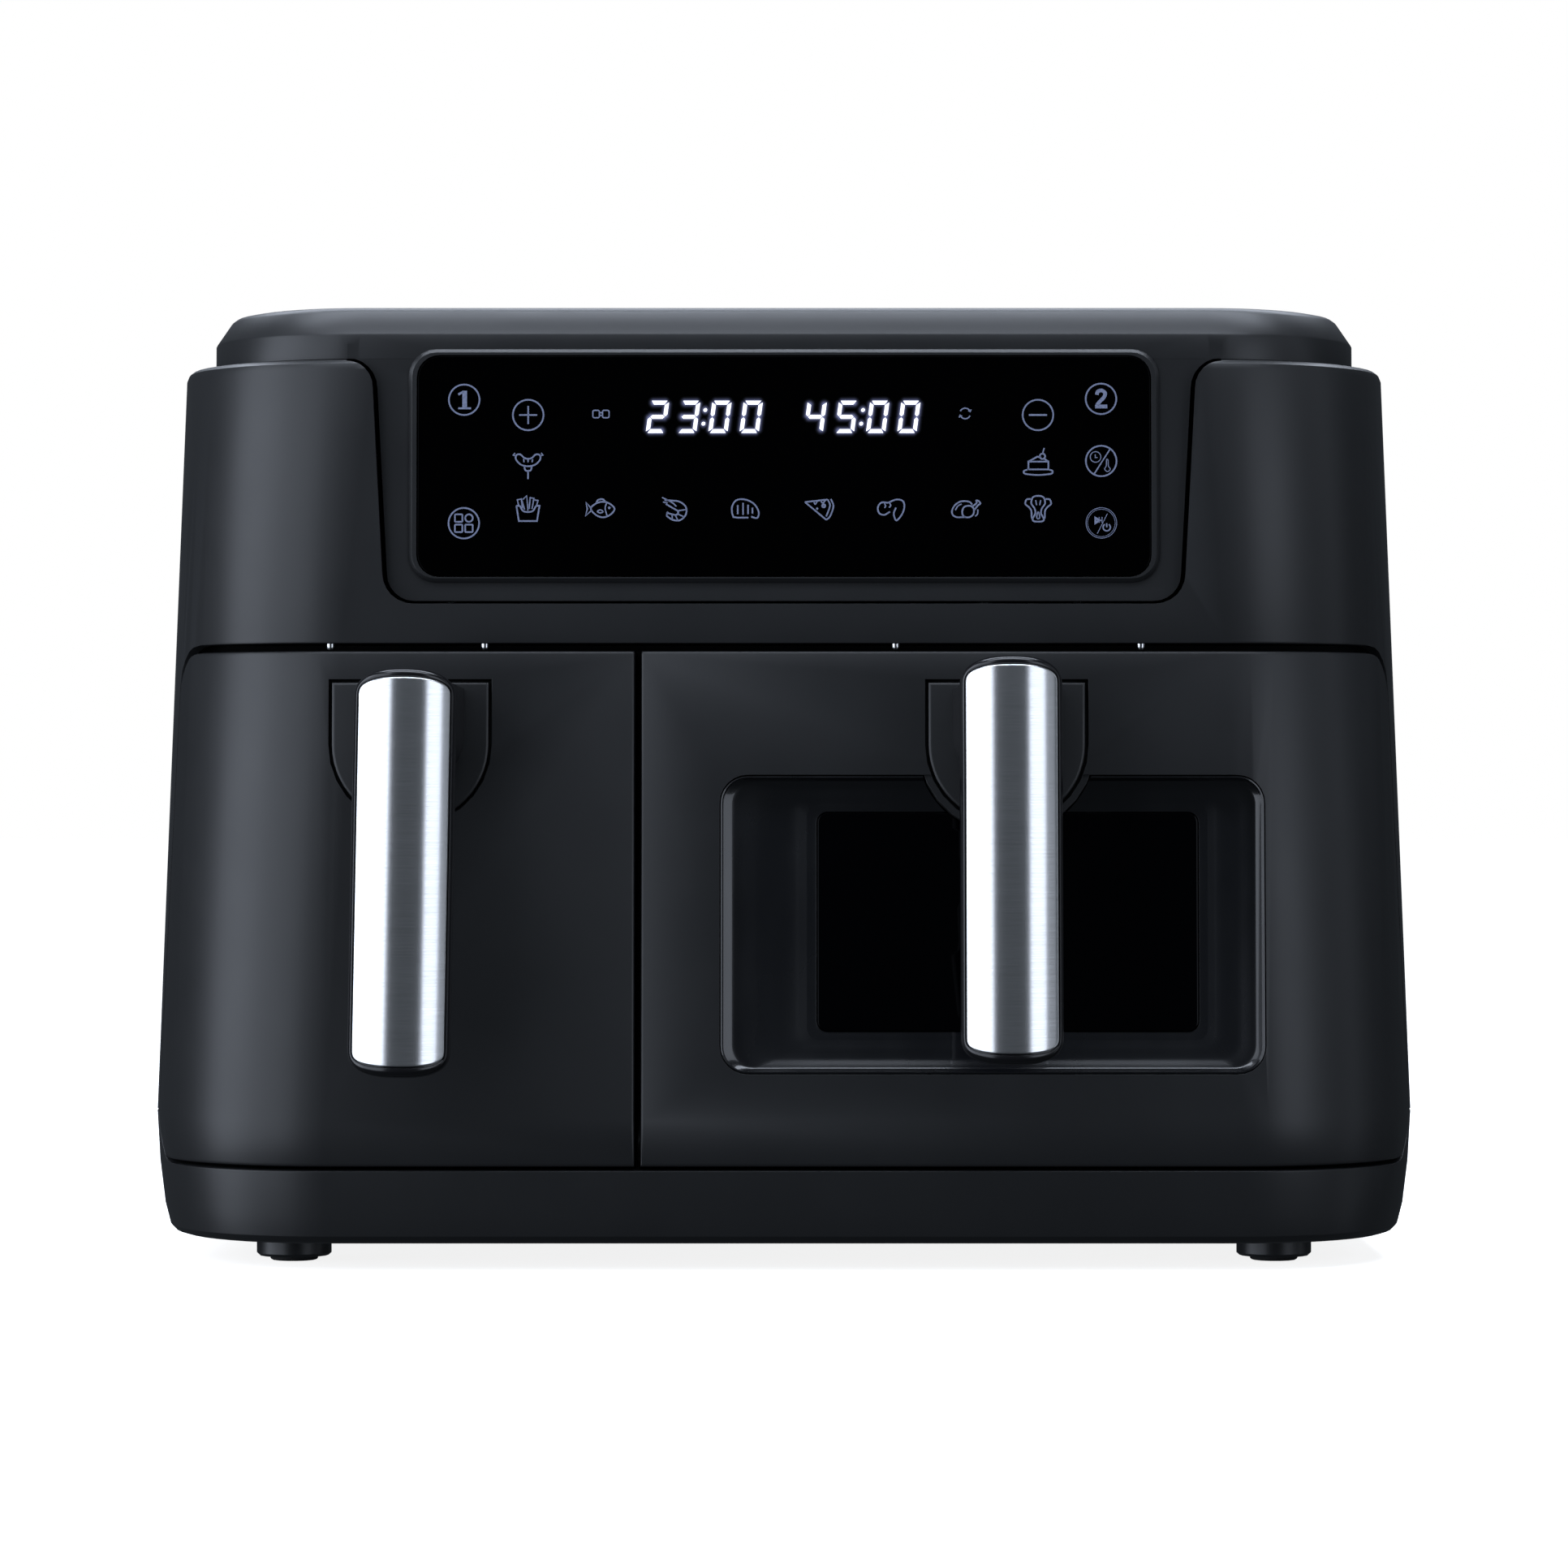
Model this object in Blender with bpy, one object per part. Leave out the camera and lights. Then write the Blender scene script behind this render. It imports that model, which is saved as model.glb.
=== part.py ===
"""A twin-drawer air fryer, modelled the way it comes apart on a bench.

Every shape is drawn in millimetres, with X to the right, Y to the back and Z up, and finish() scales it to
metres. A depth is measured back from the foot of the front face. The front leans back as it rises, so the
pieces that lie in it are drawn upright and then laid on it with PANEL.
"""

import math

import bmesh
import bpy
from mathutils import Matrix, Vector

MM = 0.001

# The outer envelope.
HALF_WIDTH = 206.0
FRONT = -139.0
BACK = 177.0
LEAN_START = 48.5
FRONT_LEAN = 0.0577
SIDE_LEAN = 0.0346
CORNER_X = 60.0
CORNER_Y = 70.0
REAR_CORNER = 40.0
WALL = 3.0
INNER_STEPS = (6, 3)
GAP = 0.3
BASE_BOTTOM = 8.5
BASE_TOP = 48.2
BASE_PROFILE = ((8.5, 8.5), (9.2, 6.2), (11.0, 4.4), (18.0, 2.6), (32.0, 0.9), (48.2, 0.0))
SHOULDER = 291.0
COVER_TOP = 308.5

# The drawer bay, in depth and height, and the fronts that close it.
BAY_LOW = 32.2
BAY_HIGH = 199.8
BAY_DEPTH = 53.2
BAY_CORNER = 15.2
FRONT_LOW = 33.4
FRONT_HIGH = 197.4
FRONT_DEPTH = 52.0
FRONT_CORNER = 14.0
PARTING_LEFT = -47.6
PARTING_RIGHT = -45.5

# The chambers and pans: centre and half width of each side.
SIDES = {
    "left": {"centre": -119.5, "chamber": 67.0, "pan": 61.0, "plate": 57.4, "ring": 50.0, "fan": 44.0},
    "right": {"centre": 73.0, "chamber": 113.5, "pan": 107.5, "plate": 103.9, "ring": 80.0, "fan": 60.0},
}
SLOT_COLUMNS = {"left": 2, "right": 4}
CHAMBER_FRONT = 56.9
CHAMBER_REAR = 290.0
CHAMBER_LOW = 37.5
CHAMBER_HIGH = 204.5
SHEET = 1.5
MOUTH_HIGH = 168.0
FAN_DEPTH = 168.0
PAN_FRONT = 44.5
PAN_REAR = 277.0
PAN_LOW = 42.0
PAN_HIGH = 163.5
PAN_WALL = 1.6
PAN_FRONT_CORNER = 8.0
PAN_REAR_CORNER = 9.0
PLATE_LOW = 56.0
PLATE_THICK = 1.5
INNER_WINDOW = (71.5, 111.5, 62.0, 35.0)

# The display in the front, and the fascia around it.
RECESS = 4.6
GLASS_HALF = 117.3
GLASS_LOW = 221.9
GLASS_HIGH = 292.7
NOTCH_LOW = 212.8
NOTCH_RADIUS = 10.0
FLARE_RADIUS = 8.5
FASCIA_GAP = 1.3

# The handles.
HANDLES = {
    "left": {"x": -119.1, "middle": 127.95, "roll": 0.7},
    "right": {"x": 71.0, "middle": 131.95, "roll": 0.0},
}
HANDLE_OUT = -179.4
HANDLE_LEAN = 5.3
GRIP_HALF = 16.1
GRIP_LENGTH = 127.4
GRIP_END = 13.0
GRIP_DEPTH = 15.0
STRIP_HALF = 14.4
STRIP_LENGTH = 121.3
STRIP_END = 8.0
STRIP_THICK = 0.9
STRIP_RADIUS = 23.2
SHIELD_RADIUS = 25.0
SHIELD_TOP = 187.6
SHIELD_BEND = 167.7
SHIELD_THICK = 5.0
SCREW_HEIGHT = 170.0

# The window in the right drawer: left, right, bottom, top and corner radius.
WINDOW_HOLE = (-20.5, 153.3, 62.8, 158.1, 9.0)
WINDOW_FLOOR = (3.7, 138.4, 71.3, 151.4, 5.0)
WINDOW_GLASS = (10.7, 132.2, 76.7, 146.4, 3.2)
WINDOW_DEPTH = 7.5

PIN_PLACES = (-145.1, -95.7, 35.7, 114.2)
PIN_DEPTH = 15.6
FOOT_PLACES = {
    "front_left": (-159.7, 50.0),
    "front_right": (159.7, 50.0),
    "rear_left": (-159.7, 266.0),
    "rear_right": (159.7, 266.0),
}
REAR_PANEL = (-150.0, 150.0, 60.0, 280.0, 12.0)
GLAND_PLACE = (120.0, 82.0)

LEAN_ANGLE = math.atan(FRONT_LEAN)
PANEL = (
    Matrix.Translation((0.0, FRONT, LEAN_START))
    @ Matrix.Rotation(-LEAN_ANGLE, 4, "X")
    @ Matrix.Translation((0.0, 0.0, -LEAN_START))
)

LOOKS = {
    "charcoal_plastic": ((0.022, 0.024, 0.029, 1.0), 0.5, 0.0),
    "black_plastic": ((0.012, 0.012, 0.014, 1.0), 0.4, 0.0),
    "smoked_plastic": ((0.03, 0.031, 0.035, 1.0), 0.15, 0.0),
    "black_glass": ((0.004, 0.004, 0.005, 1.0), 0.05, 0.0),
    "brushed_steel": ((0.62, 0.62, 0.63, 1.0), 0.28, 1.0),
    "bright_steel": ((0.75, 0.75, 0.76, 1.0), 0.15, 1.0),
    "sheet_steel": ((0.42, 0.42, 0.43, 1.0), 0.4, 1.0),
    "nonstick_coating": ((0.03, 0.03, 0.032, 1.0), 0.45, 0.0),
    "rubber": ((0.02, 0.02, 0.02, 1.0), 0.85, 0.0),
    "silicone": ((0.35, 0.35, 0.36, 1.0), 0.6, 0.0),
    "circuit_board": ((0.02, 0.12, 0.05, 1.0), 0.45, 0.0),
    "cast_aluminium": ((0.55, 0.56, 0.57, 1.0), 0.4, 1.0),
}


# Drawing helpers.


def clear_scene():
    """Removes what the startup scene holds."""
    for old in list(bpy.data.objects):
        bpy.data.objects.remove(old)


def material(look):
    """The material of one finish, made when it is first asked for."""
    found = bpy.data.materials.get(look)
    if found:
        return found
    colour, roughness, metallic = LOOKS[look]
    made = bpy.data.materials.new(look)
    made.use_nodes = True
    shader = made.node_tree.nodes["Principled BSDF"]
    shader.inputs["Base Color"].default_value = colour
    shader.inputs["Roughness"].default_value = roughness
    shader.inputs["Metallic"].default_value = metallic
    return made


def solid(name, points, faces):
    """A closed mesh object with its faces turned outwards."""
    mesh = bpy.data.meshes.new(name)
    mesh.from_pydata(points, [], faces)
    shape = bmesh.new()
    shape.from_mesh(mesh)
    bmesh.ops.recalc_face_normals(shape, faces=shape.faces)
    shape.to_mesh(mesh)
    shape.free()
    made = bpy.data.objects.new(name, mesh)
    bpy.context.scene.collection.objects.link(made)
    return made


def loft(name, rings, closed=False):
    """Joins rings of equal count, capped at both ends or, when closed, with the last joined to the first."""
    count = len(rings[0])
    spans = len(rings) if closed else len(rings) - 1
    faces = []
    for level in range(spans):
        low = level * count
        high = ((level + 1) % len(rings)) * count
        for i in range(count):
            j = (i + 1) % count
            faces.append((low + i, low + j, high + j, high + i))
    if not closed:
        faces.append(tuple(range(count)))
        faces.append(tuple(range(spans * count, (spans + 1) * count)))
    return solid(name, [tuple(point) for ring in rings for point in ring], faces)


def prism(name, outline, axis, low, high):
    """An outline drawn in the plane across an axis, and carried along it from low to high."""
    lift = {
        "X": lambda a, b, c: (c, a, b),
        "Y": lambda a, b, c: (a, c, b),
        "Z": lambda a, b, c: (a, b, c),
    }[axis]
    return loft(name, [[lift(a, b, c) for a, b in outline] for c in (low, high)])


def block(name, x, y, z):
    """A box from its three ranges."""
    return prism(name, [(x[0], y[0]), (x[1], y[0]), (x[1], y[1]), (x[0], y[1])], "Z", z[0], z[1])


def arc(x, y, radius_x, radius_y, start, end, steps):
    """Points on an elliptical arc, angles in degrees."""
    turns = [math.radians(start + (end - start) * i / steps) for i in range(steps + 1)]
    return [(x + radius_x * math.cos(t), y + radius_y * math.sin(t)) for t in turns]


def rounded_rect(left, right, low, high, radius, steps=4):
    """A rectangle with round corners, anticlockwise from its lower left."""
    return (
        arc(left + radius, low + radius, radius, radius, 180, 270, steps)
        + arc(right - radius, low + radius, radius, radius, 270, 360, steps)
        + arc(right - radius, high - radius, radius, radius, 0, 90, steps)
        + arc(left + radius, high - radius, radius, radius, 90, 180, steps)
    )


def turned(name, profile, x, y, steps=24, bored=False):
    """A profile of radius and height turned about an upright axis, with a bore when the profile is closed."""
    rings = []
    for radius, z in profile:
        rings.append([(a, b, z) for a, b in arc(x, y, radius, radius, 0, 360, steps)[:-1]])
    return loft(name, rings, closed=bored)


def combine(target, operation, tools):
    """Applies one Boolean after another to the target and removes the tools."""
    for tool in tools:
        step = target.modifiers.new("step", "BOOLEAN")
        step.operation = operation
        step.solver = "EXACT"
        step.object = tool
        graph = bpy.context.evaluated_depsgraph_get()
        result = bpy.data.meshes.new_from_object(target.evaluated_get(graph))
        target.modifiers.remove(step)
        target.data = result
        bpy.data.objects.remove(tool)
    return target


def cut(target, *tools):
    return combine(target, "DIFFERENCE", tools)


def fuse(target, *tools):
    return combine(target, "UNION", tools)


def moved(obj, matrix):
    """Moves the drawing itself, so that the object's own place stays at the origin."""
    obj.data.transform(matrix)
    return obj


def soften(obj, width, chosen):
    """Rounds the sharp edges whose two ends are both chosen."""
    shape = bmesh.new()
    shape.from_mesh(obj.data)
    edges = []
    for edge in shape.edges:
        if edge.calc_face_angle(0.0) > 0.5 and all(chosen(point.co) for point in edge.verts):
            edges.append(edge)
    bmesh.ops.bevel(shape, geom=edges, offset=width, segments=2, profile=0.5, affect="EDGES")
    shape.to_mesh(obj.data)
    shape.free()
    return obj


def empty(name, x=0.0, y=0.0, z=0.0, parent=None):
    """A frame that the pieces of one moving body hang on."""
    made = bpy.data.objects.new(name, None)
    made.empty_display_size = 0.03
    made.location = Vector((x, y, z)) * MM
    if parent:
        made.parent = parent
        made.location -= parent.location
    bpy.context.scene.collection.objects.link(made)
    return made


def finish(obj, look, body=None):
    """Scales the drawing to metres, merges doubled points, shades it and hangs it on its body."""
    shape = bmesh.new()
    shape.from_mesh(obj.data)
    bmesh.ops.scale(shape, vec=(MM, MM, MM), verts=shape.verts)
    bmesh.ops.remove_doubles(shape, verts=shape.verts, dist=0.000002)
    bmesh.ops.dissolve_degenerate(shape, edges=shape.edges, dist=0.000002)
    shape.to_mesh(obj.data)
    shape.free()
    obj.data.materials.clear()
    obj.data.materials.append(material(look))
    for face in obj.data.polygons:
        face.material_index = 0
    obj.data.shade_smooth()
    obj.data.set_sharp_from_angle(angle=math.radians(32))
    if body:
        bpy.context.view_layer.update()
        obj.parent = body
        obj.matrix_parent_inverse = body.matrix_world.inverted()
    return obj


# The envelope.


def half_width(z):
    return HALF_WIDTH - SIDE_LEAN * max(0.0, z - LEAN_START)


def front_at(z):
    return FRONT + FRONT_LEAN * max(0.0, z - LEAN_START)


def ring(z, half, front, back, corner_x, corner_y, rear, front_steps=12, rear_steps=6):
    """A level outline with elliptical front corners and round rear ones."""
    plan = (
        arc(-half + corner_x, front + corner_y, corner_x, corner_y, 180, 270, front_steps)
        + arc(half - corner_x, front + corner_y, corner_x, corner_y, 270, 360, front_steps)
        + arc(half - rear, back - rear, rear, rear, 0, 90, rear_steps)
        + arc(-half + rear, back - rear, rear, rear, 90, 180, rear_steps)
    )
    return [(x, y, z) for x, y in plan]


def front_curve(x, z):
    """How far the outer face has curved back from its flat middle at a place across the front."""
    share = max(0.0, abs(x) - half_width(z) + CORNER_X) / CORNER_X
    return CORNER_Y * (1.0 - math.sqrt(1.0 - share * share))


def body_ring(z, inset=0.0, steps=(12, 6)):
    """The body's outline at a height, drawn in by an inset."""
    return ring(
        z,
        half_width(z) - inset,
        front_at(z) + inset,
        BACK - inset,
        CORNER_X - inset,
        CORNER_Y - inset,
        REAR_CORNER - inset,
        *steps,
    )


def base_inset(z):
    """How far the base's side lies inside the envelope at a height."""
    for (low, wide), (high, narrow) in zip(BASE_PROFILE, BASE_PROFILE[1:]):
        if low <= z <= high:
            return wide + (narrow - wide) * (z - low) / (high - low)
    return 0.0


def envelope_slice(name, levels, x, depth):
    """The part of the envelope between levels of height and inset that lies in a range of X and of depth."""
    piece = loft(name, [body_ring(z, inset + base_inset(z), INNER_STEPS) for z, inset in levels])
    tall = (levels[0][0] - 5.0, levels[-1][0] + 5.0)
    window = block("range", x, (FRONT + depth[0], FRONT + depth[1]), tall)
    return combine(piece, "INTERSECT", [window])


def bay_outline(low, high, depth, corner):
    """The side view of the drawer bay, with its two round rear corners."""
    bend = depth - corner
    plan = [(-60.0, low), (bend, low)]
    plan += arc(bend, low + corner, corner, corner, 270, 360, 6)[1:]
    plan += arc(bend, high - corner, corner, corner, 0, 90, 6)
    plan += [(-60.0, high)]
    return [(FRONT + d, z) for d, z in plan]


def bay_tool():
    return prism("bay", bay_outline(BAY_LOW, BAY_HIGH, BAY_DEPTH, BAY_CORNER), "X", -260.0, 260.0)


def notch_outline(gap, top):
    """The notch that the fascia fills: round bottom corners, slanted sides and flared top corners."""
    low = NOTCH_LOW + gap
    radius = NOTCH_RADIUS - gap
    bottom_half = 128.3 - gap
    top_half = 131.6
    bend = SHOULDER - FLARE_RADIUS
    flare = FLARE_RADIUS + gap
    right = arc(bottom_half - radius, low + radius, radius, radius, 270, 360, 6)
    right += arc(top_half + FLARE_RADIUS, bend, flare, flare, 180, 90, 6)
    right += [(top_half + FLARE_RADIUS, top)]
    left = [(-x, z) for x, z in reversed(right)]
    return left + right


def u_outline(middle, radius):
    """The shield's outline: square on top and round below, grown or shrunk about one bend line."""
    top = SHIELD_TOP + radius - SHIELD_RADIUS
    plan = arc(middle, SHIELD_BEND, radius, radius, 180, 360, 14)
    return plan + [(middle + radius, top), (middle - radius, top)]


# The base, the shell and what closes it.


def base_tray():
    tray = loft("base_tray", [body_ring(z, inset) for z, inset in BASE_PROFILE])
    rear = [(11.5, WALL), (18.0, WALL), (32.0, WALL), (BASE_TOP + 4.0, WALL)]
    under_sill = [(11.6, WALL + 0.1), (18.0, WALL + 0.1), (29.2, WALL + 0.1)]
    cut(tray, envelope_slice("hollow", rear, (-250.0, 250.0), (BAY_DEPTH + 3.4, 400.0)))
    cut(tray, envelope_slice("hollow", under_sill, (-250.0, 250.0), (-20.0, BAY_DEPTH + 5.0)))
    cut(tray, bay_tool())
    for side in SIDES.values():
        x = (side["centre"] - side["chamber"], side["centre"] + side["chamber"])
        cut(tray, block("mouth", x, (FRONT + 34.0, FRONT + 60.0), (CHAMBER_LOW, 60.0)))
    for x, depth in FOOT_PLACES.values():
        boss = ((11.2, 1.5), (12.2, 2.4), (12.2, 10.0))
        fuse(tray, turned("boss", boss, x, FRONT + depth, 18))
        cut(tray, turned("pocket", ((8.1, 0.0), (8.1, 2.8)), x, FRONT + depth, 14))
    for row in range(6):
        x = -75.0 + 30.0 * row
        slot = rounded_rect(x - 3.0, x + 3.0, FRONT + 130.0, FRONT + 190.0, 2.5, 1)
        cut(tray, prism("intake", slot, "Z", 5.0, 15.0))
    soften(tray, 0.8, lambda p: abs(p.z - BAY_LOW) < 0.01 and p.y < FRONT + 37.0)
    finish(tray, "charcoal_plastic")


def foot_pads():
    for corner, (x, depth) in FOOT_PLACES.items():
        profile = ((7.2, 0.0), (7.8, 0.5), (7.8, 2.5))
        finish(turned("foot_pad_" + corner, profile, x, FRONT + depth, 14), "rubber")


def body_shell():
    edge = ((BASE_TOP + 0.6, 0.0), (287.6, 0.0), (289.6, 0.7), (290.7, 2.2), (SHOULDER, 4.0))
    shell = loft("body_shell", [body_ring(z, inset) for z, inset in edge])
    levels = (44.0, LEAN_START, SHOULDER - WALL)
    inside = loft("inside", [body_ring(z, WALL, INNER_STEPS) for z in levels])
    mouth = loft("mouth", [body_ring(z, 13.0, INNER_STEPS) for z in (280.0, 300.0)])
    cut(shell, inside, mouth, bay_tool())
    notch = moved(prism("notch", notch_outline(0.0, 305.0), "Y", -12.0, 22.0), PANEL)
    rear = prism("rear", rounded_rect(*REAR_PANEL), "Y", BACK - 10.0, BACK + 10.0)
    cut(shell, notch, rear)
    soften(shell, 0.8, lambda p: abs(p.z - BAY_HIGH) < 0.01 and p.y < FRONT + 37.0)
    finish(shell, "charcoal_plastic")


def top_cover():
    """The lid of the housing, with the fascia that comes down its front and the raised rim of the display."""

    def cover_ring(z, inset):
        front = front_at(z) + RECESS + inset
        return ring(z, 187.8 - inset, front, BACK - 4.0 - inset, 52.0 - inset, 62.0 - inset, 34.0 - inset)

    low = SHOULDER + GAP
    outside = ((low, 0.0), (299.0, 0.0), (299.8, 0.4), (306.6, 5.0), (307.9, 6.8), (COVER_TOP, 10.0))
    inside = ((low - 5.0, 2.5), (298.2, 2.5), (304.6, 6.8), (306.0, 10.0))
    cover = loft("top_cover", [cover_ring(z, inset) for z, inset in outside])
    cut(cover, loft("inside", [cover_ring(z, inset) for z, inset in inside]))
    fascia = prism("fascia", notch_outline(FASCIA_GAP, 297.0), "Y", RECESS + 0.05, RECESS + 2.6)
    rim = display_rim()
    fuse(cover, moved(fascia, PANEL), moved(rim, PANEL))
    hole = rounded_rect(
        -GLASS_HALF - GAP, GLASS_HALF + GAP, GLASS_LOW - GAP, GLASS_HIGH + GAP, 7.3, 6
    )
    cut(cover, moved(prism("hole", hole, "Y", -3.0, 12.0), PANEL))
    finish(cover, "charcoal_plastic")


def display_rim():
    """A plate with a bevelled edge, which the display's opening is later cut from."""
    rings = []
    for inset, y in ((0.0, RECESS + 1.5), (0.0, RECESS - 0.4), (0.4, RECESS - 0.9), (1.3, RECESS - 1.6)):
        plan = rounded_rect(
            -120.3 + inset, 120.3 - inset, 219.9 + inset, 295.1 - inset, 9.0 - inset, 6
        )
        rings.append([(x, y, z) for x, z in plan])
    return loft("rim", rings)


def rear_cover():
    """A plate in the rear opening with a lip behind the wall, louvres and the cord's hole."""
    left, right, low, high, radius = REAR_PANEL
    plug = rounded_rect(left + 0.4, right - 0.4, low + 0.4, high - 0.4, radius - 0.4)
    lip = rounded_rect(left - 5.0, right + 5.0, low - 5.0, high + 5.0, radius + 4.0)
    cover = prism("rear_cover", lip, "Y", BACK - 5.8, BACK - WALL - GAP)
    fuse(cover, prism("plug", plug, "Y", BACK - 4.5, BACK - 0.4))
    for middle, height, rows in ((-78.0, 228.0, 6), (78.0, 228.0, 6), (0.0, 168.0, 4)):
        for row in range(rows):
            z = height + 7.0 * row
            slot = rounded_rect(middle - 45.0, middle + 45.0, z - 1.8, z + 1.8, 1.2, 1)
            cut(cover, prism("louvre", slot, "Y", BACK - 10.0, BACK + 5.0))
    x, z = GLAND_PLACE
    cut(cover, prism("cord_hole", arc(x, z, 9.4, 9.4, 0, 360, 16)[:-1], "Y", BACK - 12.0, BACK + 5.0))
    for x, z in rear_screw_places():
        cut(cover, prism("screw_hole", arc(x, z, 2.4, 2.4, 0, 360, 8)[:-1], "Y", BACK - 12.0, BACK + 5.0))
        cut(cover, prism("seat", arc(x, z, 5.2, 5.2, 0, 360, 14)[:-1], "Y", BACK - 2.6, BACK + 5.0))
    finish(cover, "black_plastic")


def rear_screw_places():
    return ((-138.0, 268.0), (138.0, 268.0))


def rear_cover_screws():
    profile = ((2.0, 14.0), (2.0, 2.3), (4.2, 2.3), (4.2, 1.3), (2.9, 0.5))
    for side, (x, z) in zip(("left", "right"), rear_screw_places()):
        screw = turned("rear_cover_screw_" + side, profile, 0.0, 0.0, 10)
        moved(screw, Matrix.Translation((x, BACK, z)) @ Matrix.Rotation(math.radians(90), 4, "X"))
        finish(screw, "bright_steel")


def cord_gland():
    profile = ((3.8, -8.0), (6.4, -8.0), (7.2, -1.4), (11.2, -1.0), (11.2, 0.1))
    profile += ((9.0, 0.1), (9.0, 6.1), (11.0, 6.1), (11.0, 9.0), (3.8, 9.0))
    gland = turned("cord_gland", profile, 0.0, 0.0, 16, bored=True)
    x, z = GLAND_PLACE
    moved(gland, Matrix.Translation((x, BACK, z)) @ Matrix.Rotation(math.radians(90), 4, "X"))
    finish(gland, "rubber")


def front_frame():
    """The inner frame that the drawers close against: two mouths, and a soffit over the drawer fronts."""
    low = BASE_TOP + GAP
    levels = [(low, WALL + 0.4), (BAY_HIGH + 2.8, WALL + 0.4)]
    frame = envelope_slice("front_frame", levels, (-250.0, 250.0), (BAY_DEPTH + 0.4, BAY_DEPTH + 3.4))
    top = [(BAY_HIGH + GAP, WALL + 0.4), (BAY_HIGH + 2.8, WALL + 0.4)]
    fuse(frame, envelope_slice("soffit", top, (-250.0, 250.0), (-20.0, BAY_DEPTH + 2.0)))
    for side in SIDES.values():
        x = (side["centre"] - side["chamber"], side["centre"] + side["chamber"])
        cut(frame, block("mouth", x, (FRONT + 45.0, FRONT + 60.0), (low - 5.0, MOUTH_HIGH)))
    for x in PIN_PLACES:
        cut(frame, turned("pin_hole", ((1.5, 195.0), (1.5, 210.0)), x, FRONT + PIN_DEPTH, 8))
    finish(frame, "black_plastic")


def guide_pins():
    profile = ((0.7, 197.9), (1.2, 198.5), (1.2, 202.9), (2.4, 202.9), (2.4, 205.0))
    for number, x in enumerate(PIN_PLACES, 1):
        finish(turned("guide_pin_%d" % number, profile, x, FRONT + PIN_DEPTH, 8), "bright_steel")


def drawer_sensors():
    """A reed switch in a block over each drawer, which its magnet closes."""
    low = BAY_HIGH + 3.1
    for side in SIDES:
        x = HANDLES[side]["x"]
        y = (FRONT + 30.0, FRONT + 38.0)
        sensor = block(side + "_drawer_sensor", (x - 10.0, x + 10.0), y, (low, low + 6.0))
        ear = block("ear", (x - 15.0, x + 15.0), (FRONT + 31.5, FRONT + 36.5), (low, low + 1.6))
        finish(fuse(sensor, ear), "black_plastic")


# The electronics.


def touch_glass():
    plan = rounded_rect(-GLASS_HALF, GLASS_HALF, GLASS_LOW, GLASS_HIGH, 7.0, 6)
    glass = moved(prism("touch_glass", plan, "Y", RECESS - 1.3, RECESS + 1.7), PANEL)
    finish(glass, "black_glass")


def display_module():
    module = block("display_module", (-62.0, 62.0), (7.5, 12.0), (260.0, 284.0))
    for x in (-30.0, 30.0):
        fuse(module, block("digits", (x - 26.0, x + 26.0), (11.0, 14.7), (262.0, 282.0)))
    finish(moved(module, PANEL), "black_plastic")


def control_board():
    board = block("control_board", (-108.0, 108.0), (15.0, 16.6), (226.0, 289.0))
    fuse(board, block("processor", (-10.0, 10.0), (16.0, 18.6), (238.0, 252.0)))
    for x in (-70.0, 70.0):
        fuse(board, block("connector", (x - 12.0, x + 12.0), (16.0, 24.0), (229.0, 237.0)))
    finish(moved(board, PANEL), "circuit_board")


def power_board():
    rear = BACK - 12.4
    board = block("power_board", (-60.0, 60.0), (rear - 1.6, rear), (215.0, 285.0))
    parts = ((-44.0, 228.0, 13.0, 11.0, 24.0), (-12.0, 226.0, 9.0, 8.0, 14.0), (14.0, 226.0, 9.0, 8.0, 14.0))
    parts += ((44.0, 232.0, 9.0, 14.0, 18.0), (-30.0, 268.0, 20.0, 8.0, 10.0), (36.0, 270.0, 16.0, 7.0, 12.0))
    for x, z, half_x, half_z, depth in parts:
        y = (rear - 1.0 - depth, rear - 1.0)
        fuse(board, block("part", (x - half_x, x + half_x), y, (z - half_z, z + half_z)))
    finish(board, "circuit_board")


# What is in each chamber.


def chamber(name, side):
    """A sheet-metal oven, open in front, with a rail on each side and holes for shaft, element and probe."""
    middle = side["centre"]
    half = side["chamber"]
    rear = FRONT + CHAMBER_REAR
    front = FRONT + CHAMBER_FRONT
    outer = rounded_rect(
        middle - half - SHEET, middle + half + SHEET, CHAMBER_LOW - SHEET, CHAMBER_HIGH + SHEET, 7.5, 3
    )
    inner = rounded_rect(middle - half, middle + half, CHAMBER_LOW, CHAMBER_HIGH, 6.0, 3)
    oven = prism(name + "_chamber", outer, "Y", front, rear + SHEET)
    cut(oven, prism("inside", inner, "Y", front - 10.0, rear))
    for x in ((middle - half - 0.7, middle - half + 4.8), (middle + half - 4.8, middle + half + 0.7)):
        fuse(oven, block("rail", x, (front + 3.0, rear - 4.0), (158.0, 161.0)))
    axis = FRONT + FAN_DEPTH
    cut(oven, turned("shaft_hole", ((8.0, 200.0), (8.0, 210.0)), middle, axis, 14))
    terminal = axis + terminal_reach(side)
    for x in (-12.0, 12.0):
        cut(oven, turned("terminal_hole", ((4.5, 200.0), (4.5, 210.0)), middle + x, terminal, 8))
    probe = arc(middle - 20.0, 176.0, 2.8, 2.8, 0, 360, 8)[:-1]
    cut(oven, prism("probe_hole", probe, "Y", rear - 5.0, rear + 5.0))
    for row in range(3):
        z = (184.5 + 5.0 * row, 187.5 + 5.0 * row)
        cut(oven, block("exhaust", (middle - 35.0, middle + 35.0), (rear - 5.0, rear + 5.0), z))
    finish(oven, "sheet_steel")


def terminal_reach(side):
    """How far behind the fan's axis the heating element's two ends stand."""
    return math.sqrt(side["ring"] ** 2 - 12.0**2)


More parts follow.
